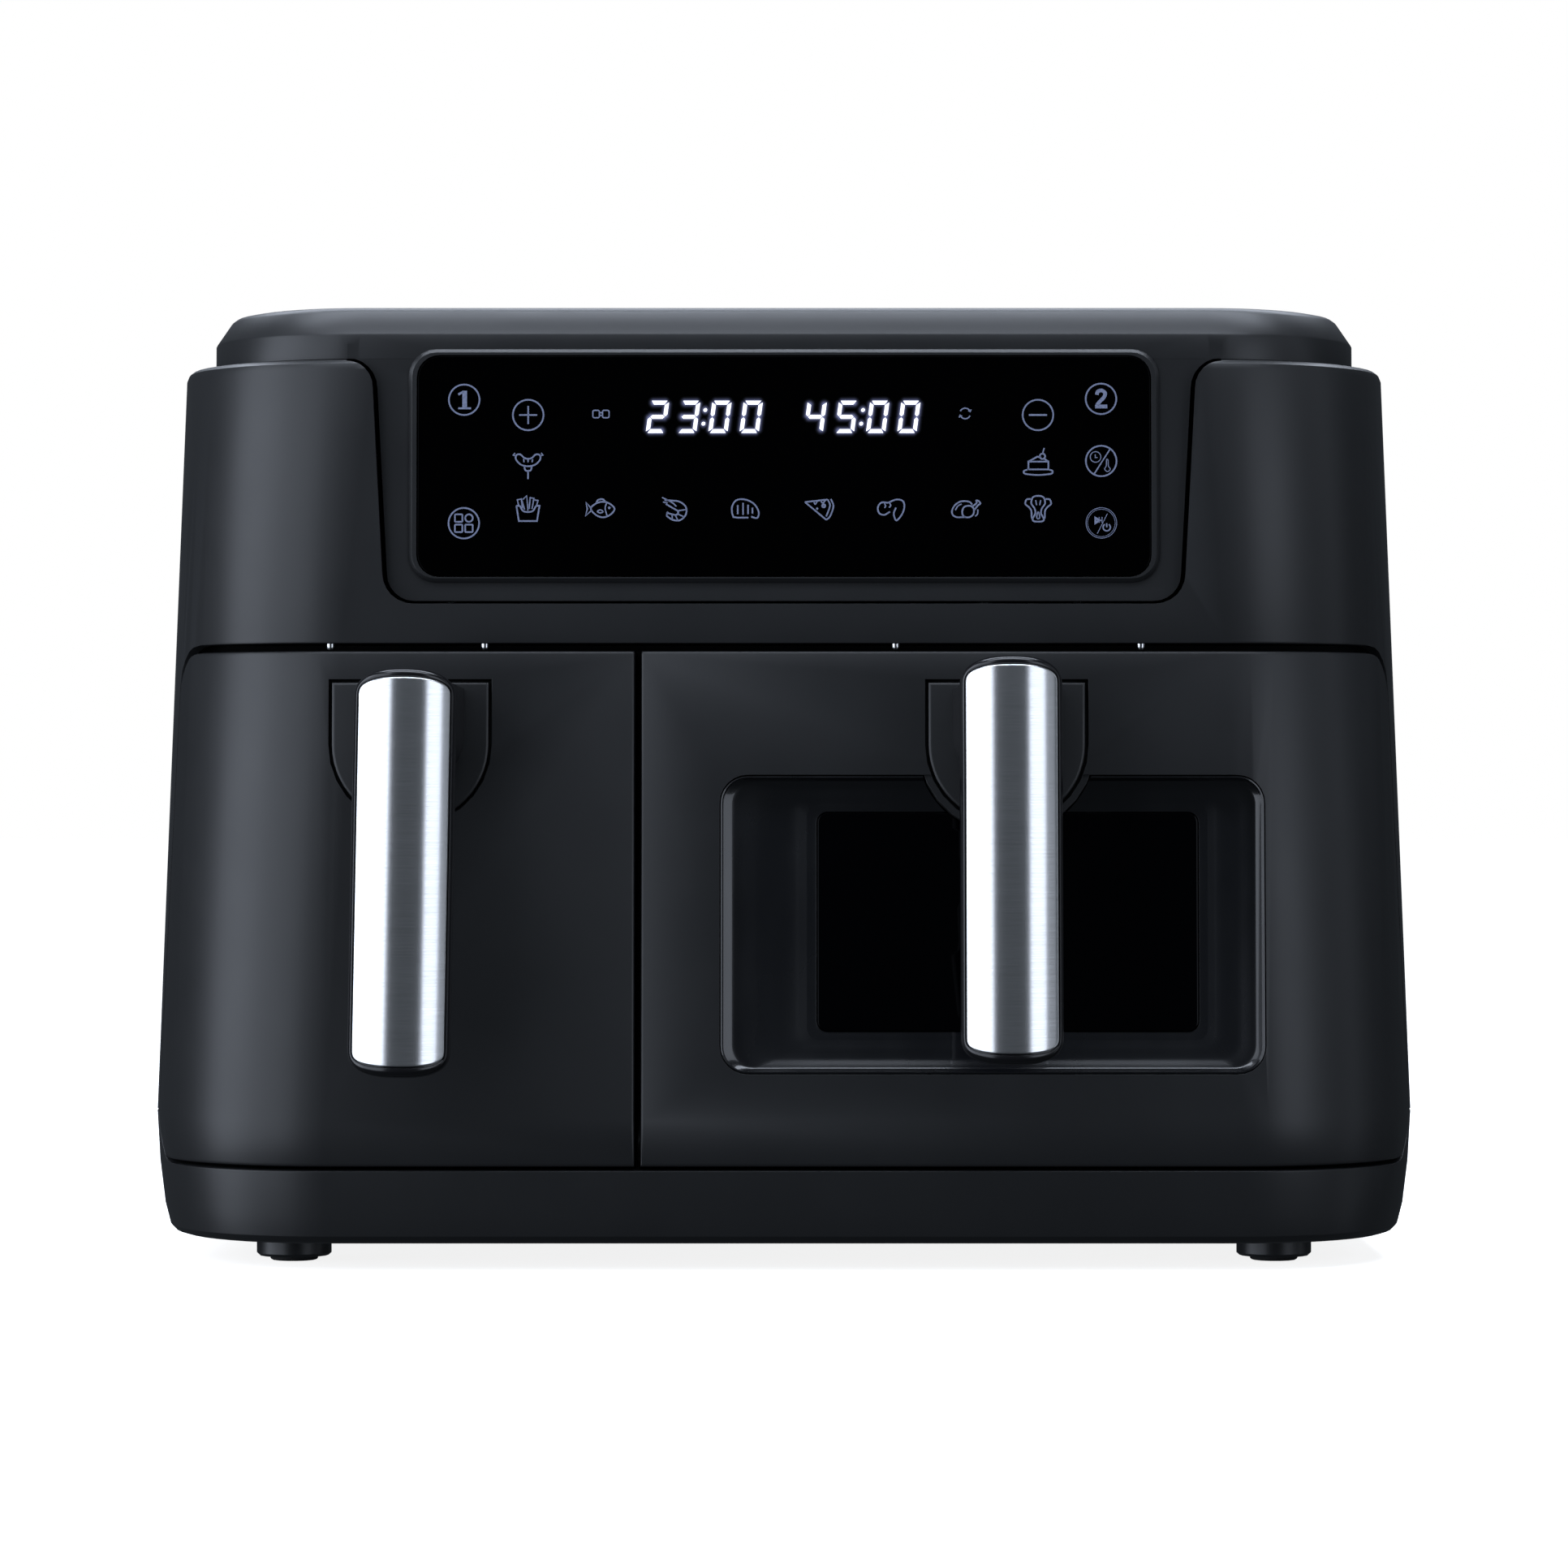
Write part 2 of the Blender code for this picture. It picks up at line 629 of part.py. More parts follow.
def element_guard(name, side):
    middle = side["centre"]
    half = side["chamber"] - 0.5
    y = (FRONT + CHAMBER_FRONT + 4.0, FRONT + CHAMBER_REAR - 3.0)
    guard = block(name + "_element_guard", (middle - half, middle + half), y, (168.5, 169.7))
    slots = 7
    pitch = (2.0 * half - 12.0) / slots
    for index in range(slots):
        x = middle - half + 6.0 + pitch * (index + 0.5)
        reach = (pitch - 5.0) / 2.0
        for low, high in ((y[0] + 8.0, y[0] + 108.0), (y[0] + 114.0, y[1] - 8.0)):
            cut(guard, block("slot", (x - reach, x + reach), (low, high), (165.0, 172.0)))
    finish(guard, "sheet_steel")


def tube(name, path, radius, sides):
    """A round tube along a path, its section kept square to the path and free of twist."""
    rings = []
    side = None
    for index, point in enumerate(path):
        ahead = path[min(index + 1, len(path) - 1)]
        behind = path[max(index - 1, 0)]
        along = (ahead - behind).normalized()
        side = along.orthogonal() if side is None else side - along * side.dot(along)
        side.normalize()
        across = along.cross(side)
        turns = [math.tau * i / sides for i in range(sides)]
        rings.append([point + radius * (side * math.cos(t) + across * math.sin(t)) for t in turns])
    return loft(name, rings)


def heating_element(name, side):
    """A rod bent into a ring, with both ends turned up through the chamber's roof."""
    middle = Vector((side["centre"], FRONT + FAN_DEPTH, 176.0))
    radius = side["ring"]
    gap = math.asin(12.0 / radius)
    start = math.pi / 2.0 + gap
    sweep = math.tau - 2.0 * gap
    steps = 28
    loop = []
    for index in range(steps + 1):
        turn = start + sweep * index / steps
        loop.append(middle + Vector((radius * math.cos(turn), radius * math.sin(turn), 0.0)))
    rise = Vector((0.0, 0.0, 1.0))
    path = [loop[0] + rise * 36.0, loop[0] + rise * 6.0, loop[0] + rise * 1.6]
    path += loop[1:-1]
    path += [loop[-1] + rise * 1.6, loop[-1] + rise * 6.0, loop[-1] + rise * 36.0]
    finish(tube(name + "_heating_element", path, 3.25, 6), "bright_steel")


def fan_drive(name, side):
    """Motor and bracket on the chamber's roof, and the shaft with its two fans, which turns."""
    x = side["centre"]
    y = FRONT + FAN_DEPTH
    hat = [(-40.0, 206.3), (-28.5, 206.3), (-28.5, 222.0), (28.5, 222.0), (28.5, 206.3), (40.0, 206.3)]
    hat += [(40.0, 207.8), (30.0, 207.8), (30.0, 223.5), (-30.0, 223.5), (-30.0, 207.8), (-40.0, 207.8)]
    bracket = prism(name + "_motor_bracket", [(x + a, z) for a, z in hat], "Y", y - 22.0, y + 22.0)
    cut(bracket, turned("hole", ((13.2, 215.0), (13.2, 230.0)), x, y, 14))
    finish(bracket, "sheet_steel")
    casing = ((3.6, 216.0), (12.0, 216.0), (12.0, 223.8), (26.0, 223.8), (26.0, 250.0))
    casing += ((14.0, 250.0), (14.0, 254.0), (3.6, 254.0))
    finish(turned(name + "_fan_motor", casing, x, y, 18, bored=True), "cast_aluminium")
    body = empty(name + "_fan_axis", x, y, 230.0)
    shaft = turned(name + "_motor_shaft", ((3.0, 184.0), (3.0, 272.0)), x, y, 10)
    finish(shaft, "bright_steel", body)
    hot = impeller(name + "_hot_fan", x, y, side["fan"], (186.0, 199.0, 200.5), 8)
    finish(hot, "cast_aluminium", body)
    cool = impeller(name + "_cooling_fan", x, y, 36.0, (270.0, 260.5, 259.0), 8)
    finish(cool, "cast_aluminium", body)


def impeller(name, x, y, radius, levels, blades):
    """A disc with a hub and straight blades: levels are the blades' edge, the disc's face and its back."""
    free, face, back = levels
    profile = ((3.3, free), (8.0, free), (8.0, face), (radius, face), (radius, back), (3.3, back))
    fan = turned(name, profile, x, y, 18, bored=True)
    inside = (face + back) / 2.0
    low, high = sorted((free + (0.8 if face > free else -0.8), inside))
    for index in range(blades):
        blade = block("blade", (7.0, radius - 2.0), (-0.6, 0.6), (low, high))
        turn = Matrix.Rotation(math.tau * (index + 0.5) / blades, 4, "Z")
        fuse(fan, moved(blade, Matrix.Translation((x, y, 0.0)) @ turn))
    return fan


def temperature_probe(name, side):
    profile = ((1.4, -24.5), (2.2, -23.5), (2.2, 2.0), (5.0, 2.0), (5.0, 6.0), (2.6, 6.0), (2.6, 9.0))
    probe = turned(name + "_temperature_probe", profile, 0.0, 0.0, 8)
    place = Matrix.Translation((side["centre"] - 20.0, FRONT + CHAMBER_REAR, 176.0))
    moved(probe, place @ Matrix.Rotation(math.radians(-90), 4, "X"))
    finish(probe, "bright_steel")


# The drawers.


def drawer_front(name, body):
    """The hollow skin of a drawer, cut from the body's envelope, with the boss that takes the handle."""
    ends = {"left": (-300.0, PARTING_LEFT), "right": (PARTING_RIGHT, 300.0)}[name]
    inner = {"left": (-300.0, PARTING_LEFT - WALL), "right": (PARTING_RIGHT + WALL, 300.0)}[name]
    levels = [(FRONT_LOW, 1.0), (FRONT_LOW + 0.3, 0.35), (FRONT_LOW + 1.1, 0.0), (BASE_TOP, 0.0)]
    levels += [(FRONT_HIGH - 1.1, 0.0), (FRONT_HIGH - 0.3, 0.35), (FRONT_HIGH, 1.0)]
    skin = loft(name + "_drawer_front", [body_ring(z, inset + base_inset(z)) for z, inset in levels])
    side_view = bay_outline(FRONT_LOW, FRONT_HIGH, FRONT_DEPTH, FRONT_CORNER)
    combine(skin, "INTERSECT", [prism("side_view", side_view, "X", ends[0], ends[1])])
    parting = PARTING_LEFT if name == "left" else PARTING_RIGHT
    soften(skin, 0.9, lambda p: abs(p.x - parting) < 0.01 and p.y < front_at(p.z) + 1.1)
    hollow = [(FRONT_LOW + WALL, WALL), (BASE_TOP, WALL), (FRONT_HIGH - WALL, WALL)]
    cut(skin, envelope_slice("hollow", hollow, inner, (-20.0, 60.0)))
    back = [(20.0, WALL), (BASE_TOP, WALL), (210.0, WALL)]
    cut(skin, envelope_slice("back", back, inner, (45.2, 70.0)))
    if name == "right":
        window = prism("window", rounded_rect(*WINDOW_HOLE, 6), "Y", -10.0, 6.0)
        cut(skin, moved(window, PANEL))
    middle = HANDLES[name]["x"]
    boss = prism("boss", u_outline(middle, SHIELD_RADIUS + 3.2), "Y", 0.5, 8.0)
    pocket = prism("pocket", u_outline(middle, SHIELD_RADIUS + 1.0), "Y", -10.0, 5.5)
    hole = prism("hole", arc(middle, SCREW_HEIGHT, 2.4, 2.4, 0, 360, 12)[:-1], "Y", 0.0, 20.0)
    fuse(skin, moved(boss, PANEL))
    cut(skin, moved(pocket, PANEL), moved(hole, PANEL))
    finish(skin, "charcoal_plastic", body)


def backplate(name, body):
    ends = {"left": (-187.0, PARTING_LEFT - WALL - 0.4), "right": (PARTING_RIGHT + WALL + 0.4, 187.0)}[name]
    low = FRONT_LOW + WALL + 0.5
    high = FRONT_HIGH - WALL - 0.5
    outline = rounded_rect(ends[0], ends[1], low, high, 6.0, 3)
    plate = prism(name + "_drawer_backplate", outline, "Y", FRONT + 42.0, FRONT + 44.0)
    if name == "right":
        cut(plate, inner_window_tool(0.0, 40.0, 48.0))
    finish(plate, "black_plastic", body)


def inner_window_tool(inset, near, far):
    """A block with round corners in the inner window's place, between two depths."""
    x, z, half_x, half_z = INNER_WINDOW
    wide = half_x - inset
    tall = half_z - inset
    plan = rounded_rect(x - wide, x + wide, z - tall, z + tall, 6.0 - inset)
    return prism("inner_window", plan, "Y", FRONT + near, FRONT + far)


def pan(name, side, body):
    """A deep-drawn pan: a cup with a rim that slides on the chamber's rails."""
    middle = side["centre"]

    def outline(z, inset, flange=0.0):
        half = side["pan"] - inset + flange
        front = FRONT + PAN_FRONT + inset - 0.04 * flange
        back = FRONT + PAN_REAR - inset + flange
        near = PAN_FRONT_CORNER - inset
        far = PAN_REAR_CORNER - inset + flange
        plan = (
            arc(middle - half + near, front + near, near, near, 180, 270, 4)
            + arc(middle + half - near, front + near, near, near, 270, 360, 4)
            + arc(middle + half - far, back - far, far, far, 0, 90, 5)
            + arc(middle - half + far, back - far, far, far, 90, 180, 5)
        )
        return [(x, y, z) for x, y in plan]

    flange_low = PAN_HIGH - 2.0
    rings = [outline(PAN_LOW, 4.0), outline(PAN_LOW + 1.2, 1.2), outline(PAN_LOW + 4.0, 0.0)]
    rings += [outline(flange_low, 0.0), outline(flange_low, 0.0, 4.5), outline(PAN_HIGH, 0.0, 4.5)]
    rings += [outline(PAN_HIGH, PAN_WALL), outline(PAN_LOW + 4.6, PAN_WALL)]
    rings += [outline(PAN_LOW + 2.4, PAN_WALL + 1.4), outline(PAN_LOW + PAN_WALL, PAN_WALL + 4.0)]
    cup = loft(name + "_pan", rings)
    if name == "right":
        cut(cup, inner_window_tool(0.0, 41.0, 50.0))
    finish(cup, "nonstick_coating", body)


def crisper_plate(name, side, body):
    """The slotted plate that lies on four feet in the pan."""
    middle = side["centre"]
    half = side["plate"]
    near = FRONT + PAN_FRONT + PAN_WALL + 2.0
    far = FRONT + PAN_REAR - PAN_WALL - 2.0
    plan = rounded_rect(middle - half, middle + half, near, far, 12.0, 4)
    plate = prism(name + "_crisper_plate", plan, "Z", PLATE_LOW, PLATE_LOW + PLATE_THICK)
    columns = SLOT_COLUMNS[name]
    pitch = (2.0 * half - 12.0) / columns
    rows = 11
    step = (far - near - 30.0) / rows
    for column in range(columns):
        x = middle - half + 6.0 + pitch * (column + 0.5)
        for row in range(rows):
            y = near + 15.0 + step * (row + 0.5)
            slot = block("slot", (x - pitch * 0.4, x + pitch * 0.4), (y - 3.5, y + 3.5), (50.0, 60.0))
            cut(plate, slot)
    for x in (middle - half + 9.0, middle + half - 9.0):
        for y in (near + 9.0, far - 9.0):
            foot = turned("foot", ((2.4, PAN_LOW + PAN_WALL + 0.4), (3.2, PLATE_LOW + 0.7)), x, y, 8)
            fuse(plate, foot)
    finish(plate, "nonstick_coating", body)


def sag(x):
    """How far the arched face of a handle lies behind its crest."""
    return STRIP_RADIUS - math.sqrt(STRIP_RADIUS**2 - x * x)


def end_levels(length, end, half, steps):
    """Heights and half widths along a bar with elliptical ends, from bottom to top."""
    top = []
    for index in range(steps + 1):
        turn = math.radians(84.0 * index / steps)
        top.append((length / 2.0 - end + end * math.sin(turn), half * math.cos(turn)))
    return [(-z, w) for z, w in reversed(top)] + top


def arched_bar(name, length, end, half, near, far):
    """A bar whose front and back both follow the arch, near and far behind its crest line."""
    steps = 8
    rings = []
    for z, w in end_levels(length, end, half, 5):
        across = [w * (2.0 * i / steps - 1.0) for i in range(steps + 1)]
        front = [(x, sag(x) + near, z) for x in across]
        back = [(x, sag(x) + far, z) for x in reversed(across)]
        rings.append(front + back)
    return loft(name, rings)


def handle_place(name):
    """Turns a handle, drawn upright about its own middle, into its place before the drawer."""
    handle = HANDLES[name]
    return (
        Matrix.Translation((handle["x"], HANDLE_OUT, handle["middle"]))
        @ Matrix.Rotation(math.radians(handle["roll"]), 4, "Y")
        @ Matrix.Rotation(math.radians(-HANDLE_LEAN), 4, "X")
    )


def handle_grip(name, body):
    """The plastic grip with its pocket for the steel strip, and the post that meets the shield."""
    rings = []
    for z, w in end_levels(GRIP_LENGTH, GRIP_END, GRIP_HALF, 6):
        reach = abs(z) - (GRIP_LENGTH / 2.0 - GRIP_END)
        rounding = 4.0 * max(0.0, reach / GRIP_END - 0.72) / 0.28
        face = 0.5 + rounding
        front = [w * t for t in (-0.93, -0.7, -0.45, -0.2, 0.2, 0.45, 0.7, 0.93)]
        edge = sag(0.93 * w) + face
        back = GRIP_DEPTH - 0.6 * rounding
        right = [(w * 0.985, edge + 0.9), (w, edge + 2.4)]
        right += [(w, back - 4.0), (w * 0.93, back - 1.6), (w * 0.7, back)]
        points = [(x, sag(x) + face) for x in front]
        points += right + [(-x, y) for x, y in reversed(right)]
        rings.append([(x, y, z) for x, y in points])
    grip = loft(name + "_handle", rings)
    half = STRIP_HALF + GAP
    pocket = arched_bar("pocket", STRIP_LENGTH + 2.0 * GAP, STRIP_END + GAP, half, -4.0, STRIP_THICK + GAP)
    cut(grip, pocket)
    moved(grip, handle_place(name))
    middle = HANDLES[name]["x"]
    near = [(x, -GAP, z) for x, z in post_outline(middle, 17.4)]
    far = [(x, -33.5, z) for x, z in post_outline(middle, 13.5)]
    fuse(grip, moved(loft("post", [near, far]), PANEL))
    bore = prism("bore", arc(middle, SCREW_HEIGHT, 2.3, 2.3, 0, 360, 12)[:-1], "Y", -16.0, 3.0)
    cut(grip, moved(bore, PANEL))
    finish(grip, "black_plastic", body)


def post_outline(middle, half):
    """The section of the handle's post: flat on top, round below."""
    plan = arc(middle, SHIELD_BEND + 3.0, half, half * 0.98, 180, 360, 10)
    return plan + [(middle + half, 185.8), (middle - half, 185.8)]


def handle_cover(name, body):
    strip = arched_bar(name + "_handle_cover", STRIP_LENGTH, STRIP_END, STRIP_HALF, 0.0, STRIP_THICK)
    finish(moved(strip, handle_place(name)), "brushed_steel", body)


def handle_shield(name, body):
    middle = HANDLES[name]["x"]
    rings = []
    for radius, y in ((SHIELD_RADIUS - 0.7, 0.0), (SHIELD_RADIUS, 0.7), (SHIELD_RADIUS, SHIELD_THICK)):
        rings.append([(x, y, z) for x, z in u_outline(middle, radius)])
    shield = loft(name + "_handle_shield", rings)
    cut(shield, prism("hole", arc(middle, SCREW_HEIGHT, 2.4, 2.4, 0, 360, 12)[:-1], "Y", -5.0, 10.0))
    finish(moved(shield, PANEL), "charcoal_plastic", body)


def handle_screw(name, body):
    profile = ((1.2, -14.5), (2.0, -13.5), (2.0, 8.3), (4.0, 8.3), (4.0, 9.8), (2.8, 10.8))
    screw = turned(name + "_handle_screw", profile, 0.0, 0.0, 8)
    place = PANEL @ Matrix.Translation((HANDLES[name]["x"], 0.0, SCREW_HEIGHT))
    finish(moved(screw, place @ Matrix.Rotation(math.radians(-90), 4, "X")), "bright_steel", body)


# The right drawer's window.


def window_notch():
    return prism("notch", u_outline(HANDLES["right"]["x"], SHIELD_RADIUS + 3.6), "Y", -10.0, 30.0)


def window_bezel(body):
    """A dished frame: concave walls run down from the drawer's face to a flat floor around the pane."""

    def outline(bounds, y, grow=0.0):
        left, right, low, high, radius = bounds
        plan = rounded_rect(left - grow, right + grow, low - grow, high + grow, max(radius + grow, 1.0), 5)
        return [(x, y + front_curve(x, z), z) for x, z in plan]

    def blend(share):
        return [a + (b - a) * share for a, b in zip(WINDOW_HOLE, WINDOW_FLOOR)]

    def dish(share):
        return WINDOW_DEPTH * (1.0 - (1.0 - share) ** 2.2)

    thick = 2.0
    steps = 6
    shares = [i / steps for i in range(steps + 1)]
    rings = [outline(blend(t), dish(t), -GAP) for t in shares]
    rings += [outline(WINDOW_GLASS, WINDOW_DEPTH, GAP), outline(WINDOW_GLASS, WINDOW_DEPTH + thick, GAP)]
    rings += [outline(blend(t), dish(t) + thick, -GAP) for t in reversed(shares[2:])]
    rings += [outline(WINDOW_HOLE, 6.0, 3.2), outline(WINDOW_HOLE, 4.0, 3.2), outline(WINDOW_HOLE, 4.0, -GAP)]
    bezel = loft("window_bezel", rings, closed=True)
    cut(bezel, window_notch())
    finish(moved(bezel, PANEL), "smoked_plastic", body)


def window_glass(body):
    pane = prism("window_glass", rounded_rect(*WINDOW_GLASS, 4), "Y", WINDOW_DEPTH - 0.4, WINDOW_DEPTH + 3.6)
    cut(pane, window_notch())
    finish(moved(pane, PANEL), "black_glass", body)


def inner_window(body):
    seal = inner_window_tool(0.3, 41.0, 46.5)
    seal.name = "window_seal"
    cut(seal, inner_window_tool(2.7, 38.0, 50.0))
    finish(seal, "silicone", body)
    pane = inner_window_tool(3.0, 42.0, 46.0)
    pane.name = "inner_window_glass"
    finish(pane, "black_glass", body)


def main():
    clear_scene()
    base_tray()
    foot_pads()
    body_shell()
    top_cover()
    rear_cover()
    rear_cover_screws()
    cord_gland()
    front_frame()
    guide_pins()
    drawer_sensors()
    touch_glass()
    display_module()
    control_board()
    power_board()
    for name, side in SIDES.items():
        chamber(name, side)
        element_guard(name, side)
        heating_element(name, side)
        fan_drive(name, side)
        temperature_probe(name, side)
        drawer = empty(name + "_drawer_frame", HANDLES[name]["x"], FRONT, 100.0)
        plate = empty(name + "_plate_frame", side["centre"], FRONT + 160.0, PLATE_LOW, drawer)
        drawer_front(name, drawer)
        backplate(name, drawer)
        pan(name, side, drawer)
        handle_grip(name, drawer)
        handle_cover(name, drawer)
        handle_shield(name, drawer)
        handle_screw(name, drawer)
        crisper_plate(name, side, plate)
        if name == "right":
            window_bezel(drawer)
            window_glass(drawer)
            inner_window(drawer)


main()
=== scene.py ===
"""A twin-drawer air fryer: moulded skins, steel handle covers, a lit touch display and a baking window.

All of it is laid over the CAD frame, which gives each piece its place and its body.

Lengths in the drawing functions are millimetres, X to the right, Y to the back and Z up. Pieces that belong to
the leaning front are drawn upright, with y counted back from the face, and then laid on it with PANEL.
"""

import math

import bmesh
import bpy
import numpy as np
from bpy.props import FloatProperty, FloatVectorProperty, PointerProperty
from mathutils import Matrix, Vector


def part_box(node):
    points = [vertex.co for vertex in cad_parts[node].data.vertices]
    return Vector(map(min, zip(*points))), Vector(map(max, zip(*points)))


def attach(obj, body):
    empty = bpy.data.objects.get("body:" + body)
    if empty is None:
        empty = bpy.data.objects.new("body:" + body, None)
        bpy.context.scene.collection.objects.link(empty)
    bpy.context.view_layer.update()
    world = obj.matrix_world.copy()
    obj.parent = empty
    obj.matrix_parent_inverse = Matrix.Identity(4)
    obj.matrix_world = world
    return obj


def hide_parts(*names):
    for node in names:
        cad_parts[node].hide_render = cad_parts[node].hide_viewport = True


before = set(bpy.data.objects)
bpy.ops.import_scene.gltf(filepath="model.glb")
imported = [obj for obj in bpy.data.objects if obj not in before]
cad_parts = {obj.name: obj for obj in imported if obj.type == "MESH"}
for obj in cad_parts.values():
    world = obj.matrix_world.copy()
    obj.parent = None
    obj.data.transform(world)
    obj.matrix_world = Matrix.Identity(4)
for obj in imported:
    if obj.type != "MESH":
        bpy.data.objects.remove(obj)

bl_info = {
    "name": "Twin-drawer air fryer",
    "version": (1, 0, 0),
    "blender": (4, 5, 0),
    "location": "3D View > Sidebar > Air fryer",
    "description": "Makes the visible pieces of a twin-drawer air fryer around its CAD frame",
    "category": "Object",
}

bpy.context.view_layer.update()
MM = 0.001

# The front face and what is laid out on it.
FRONT = -139.0
LEAN_START = 48.5
FRONT_LEAN = 0.0577
HALF_WIDTH = 206.0
SIDE_LEAN = 0.0346
CORNER_X = 60.0
CORNER_Y = 70.0
PANEL = (
    Matrix.Translation((0.0, FRONT, LEAN_START))
    @ Matrix.Rotation(-math.atan(FRONT_LEAN), 4, "X")
    @ Matrix.Translation((0.0, 0.0, -LEAN_START))
)
HANDLES = {
    "left": {"x": -119.1, "middle": 127.95, "roll": 0.7},
    "right": {"x": 71.0, "middle": 131.95, "roll": 0.0},
}
HANDLE_OUT = -179.4
HANDLE_LEAN = 5.3
SHIELD_BEND = 167.7
SHIELD_TOP = 187.6
SHIELD_RADIUS = 25.0
WINDOW_HOLE = (-20.5, 153.3, 62.8, 158.1, 9.0)
WINDOW_FLOOR = (3.7, 138.4, 71.3, 151.4, 5.0)
WINDOW_STEP = (7.0, 135.6, 73.4, 149.6, 4.2)
WINDOW_GLASS = (10.7, 132.2, 76.7, 146.4, 3.2)
WINDOW_DEPTH = 7.5
GLASS_FACE = 3.3
SIDES = {
    "left": {"centre": -119.5, "plate": 57.4, "ring": 50.0},
    "right": {"centre": 73.0, "plate": 103.9, "ring": 80.0},
}
FAN_AXIS = 29.0


class FryerSizes(bpy.types.PropertyGroup):
    """The sizes that a maker would change."""

    edge: FloatProperty(
        name="Edge rounding",
        description="Radius on moulded edges",
        default=0.45 * MM,
        unit="LENGTH",
    )
    strip_length: FloatProperty(
        name="Steel cover length",
        description="Length of a handle's steel cover",
        default=121.3 * MM,
        unit="LENGTH",
    )
    strip_half: FloatProperty(
        name="Steel cover half width",
        description="Half the width of a handle's steel cover",
        default=14.4 * MM,
        unit="LENGTH",
    )
    strip_radius: FloatProperty(
        name="Steel cover arch",
        description="Radius of the arch across a handle",
        default=23.2 * MM,
        unit="LENGTH",
    )
    grip_length: FloatProperty(
        name="Grip length",
        description="Length of a handle's plastic grip",
        default=127.4 * MM,
        unit="LENGTH",
    )
    grip_half: FloatProperty(
        name="Grip half width",
        description="Half the width of a handle's grip",
        default=16.1 * MM,
        unit="LENGTH",
    )
    line: FloatProperty(
        name="Symbol line",
        description="Width of the lines of a symbol",
        default=0.5 * MM,
        unit="LENGTH",
    )
    digit: FloatProperty(
        name="Digit height",
        description="Height of the lit digits",
        default=10.6 * MM,
        unit="LENGTH",
    )
    rod: FloatProperty(
        name="Heating rod",
        description="Radius of the heating element's rod",
        default=3.25 * MM,
        unit="LENGTH",
    )


class FryerColours(bpy.types.PropertyGroup):
    """The colours that a maker would change."""

    plastic: FloatVectorProperty(
        name="Housing",
        description="Colour of the moulded housing",
        subtype="COLOR",
        size=3,
        default=(0.0145, 0.0152, 0.0162),
    )
    black: FloatVectorProperty(
        name="Black plastic",
        description="Colour of the grips and inner frame",
        subtype="COLOR",
        size=3,
        default=(0.006, 0.006, 0.007),
    )
    symbol: FloatVectorProperty(
        name="Symbols",
        description="Colour of the printed symbols",
        subtype="COLOR",
        size=3,
        default=(0.17, 0.2, 0.31),
    )
    lit: FloatVectorProperty(
        name="Lit digits",
        description="Colour of the lit digits",
        subtype="COLOR",
        size=3,
        default=(0.93, 0.95, 1.0),
    )
    floor: FloatVectorProperty(
        name="Floor",
        description="Colour of the studio floor",
        subtype="COLOR",
        size=3,
        default=(0.9, 0.9, 0.9),
    )


def sizes():
    return bpy.context.scene.fryer_sizes


def colours():
    return bpy.context.scene.fryer_colours


# Finishes.


class Finish:
    """A node material in the making: adds nodes and joins them."""

    def __init__(self, name):
        self.material = bpy.data.materials.new(name)
        self.material.use_nodes = True
        self.tree = self.material.node_tree
        self.shader = self.tree.nodes["Principled BSDF"]
        self.place = self.add("ShaderNodeTexCoord").outputs["Object"]

    def add(self, kind, **settings):
        node = self.tree.nodes.new(kind)
        for key, value in settings.items():
            setattr(node, key, value)
        return node

    def join(self, out, socket):
        """Links an output to a socket, or to the shader's input of that name."""
        self.tree.links.new(out, self.shader.inputs[socket] if isinstance(socket, str) else socket)

    def stretched(self, scale):
        """The piece's own coordinates, stretched by a factor along each axis."""
        mapping = self.add("ShaderNodeMapping")
        mapping.inputs["Scale"].default_value = scale
        self.join(self.place, mapping.inputs["Vector"])
        return mapping.outputs["Vector"]

    def noise(self, scale, detail=3.0, stretch=None, rough=0.55):
        """Cloudy noise, with its scale in cells to the metre."""
        noise = self.add("ShaderNodeTexNoise")
        noise.inputs["Scale"].default_value = scale
        noise.inputs["Detail"].default_value = detail
        noise.inputs["Roughness"].default_value = rough
        self.join(self.stretched(stretch) if stretch else self.place, noise.inputs["Vector"])
        return noise.outputs["Fac"]

    def spread(self, value, low, high, start=0.3, end=0.7):
        """The value carried from start..end to low..high."""
        node = self.add("ShaderNodeMapRange")
        node.inputs["From Min"].default_value = start
        node.inputs["From Max"].default_value = end
        node.inputs["To Min"].default_value = low
        node.inputs["To Max"].default_value = high
        self.join(value, node.inputs["Value"])
        return node.outputs["Result"]

    def between(self, value, first, second):
        """A colour that goes from the first to the second as the value goes from 0 to 1."""
        ramp = self.add("ShaderNodeValToRGB")
        ramp.color_ramp.elements[0].color = (*first, 1.0)
        ramp.color_ramp.elements[1].color = (*second, 1.0)
        self.join(value, ramp.inputs["Fac"])
        return ramp.outputs["Color"]

    def mixed(self, value, first, second):
        """Two colour outputs mixed by a value."""
        mix = self.add("ShaderNodeMix", data_type="RGBA")
        self.join(value, mix.inputs[0])
        self.join(first, mix.inputs[6])
        self.join(second, mix.inputs[7])
        return mix.outputs[2]

    def bump(self, height, strength, depth):
        """Relief from a height, its depth in metres."""
        node = self.add("ShaderNodeBump")
        node.inputs["Strength"].default_value = strength
        node.inputs["Distance"].default_value = depth
        self.join(height, node.inputs["Height"])
        self.join(node.outputs["Normal"], "Normal")

    def set(self, **values):
        """Sets the shader's own sockets. A name's spaces are underscores, and a colour gets its alpha here."""
        for key, value in values.items():
            socket = self.shader.inputs[key.replace("_", " ")]
            socket.default_value = (*value, 1.0) if isinstance(value, tuple) else value


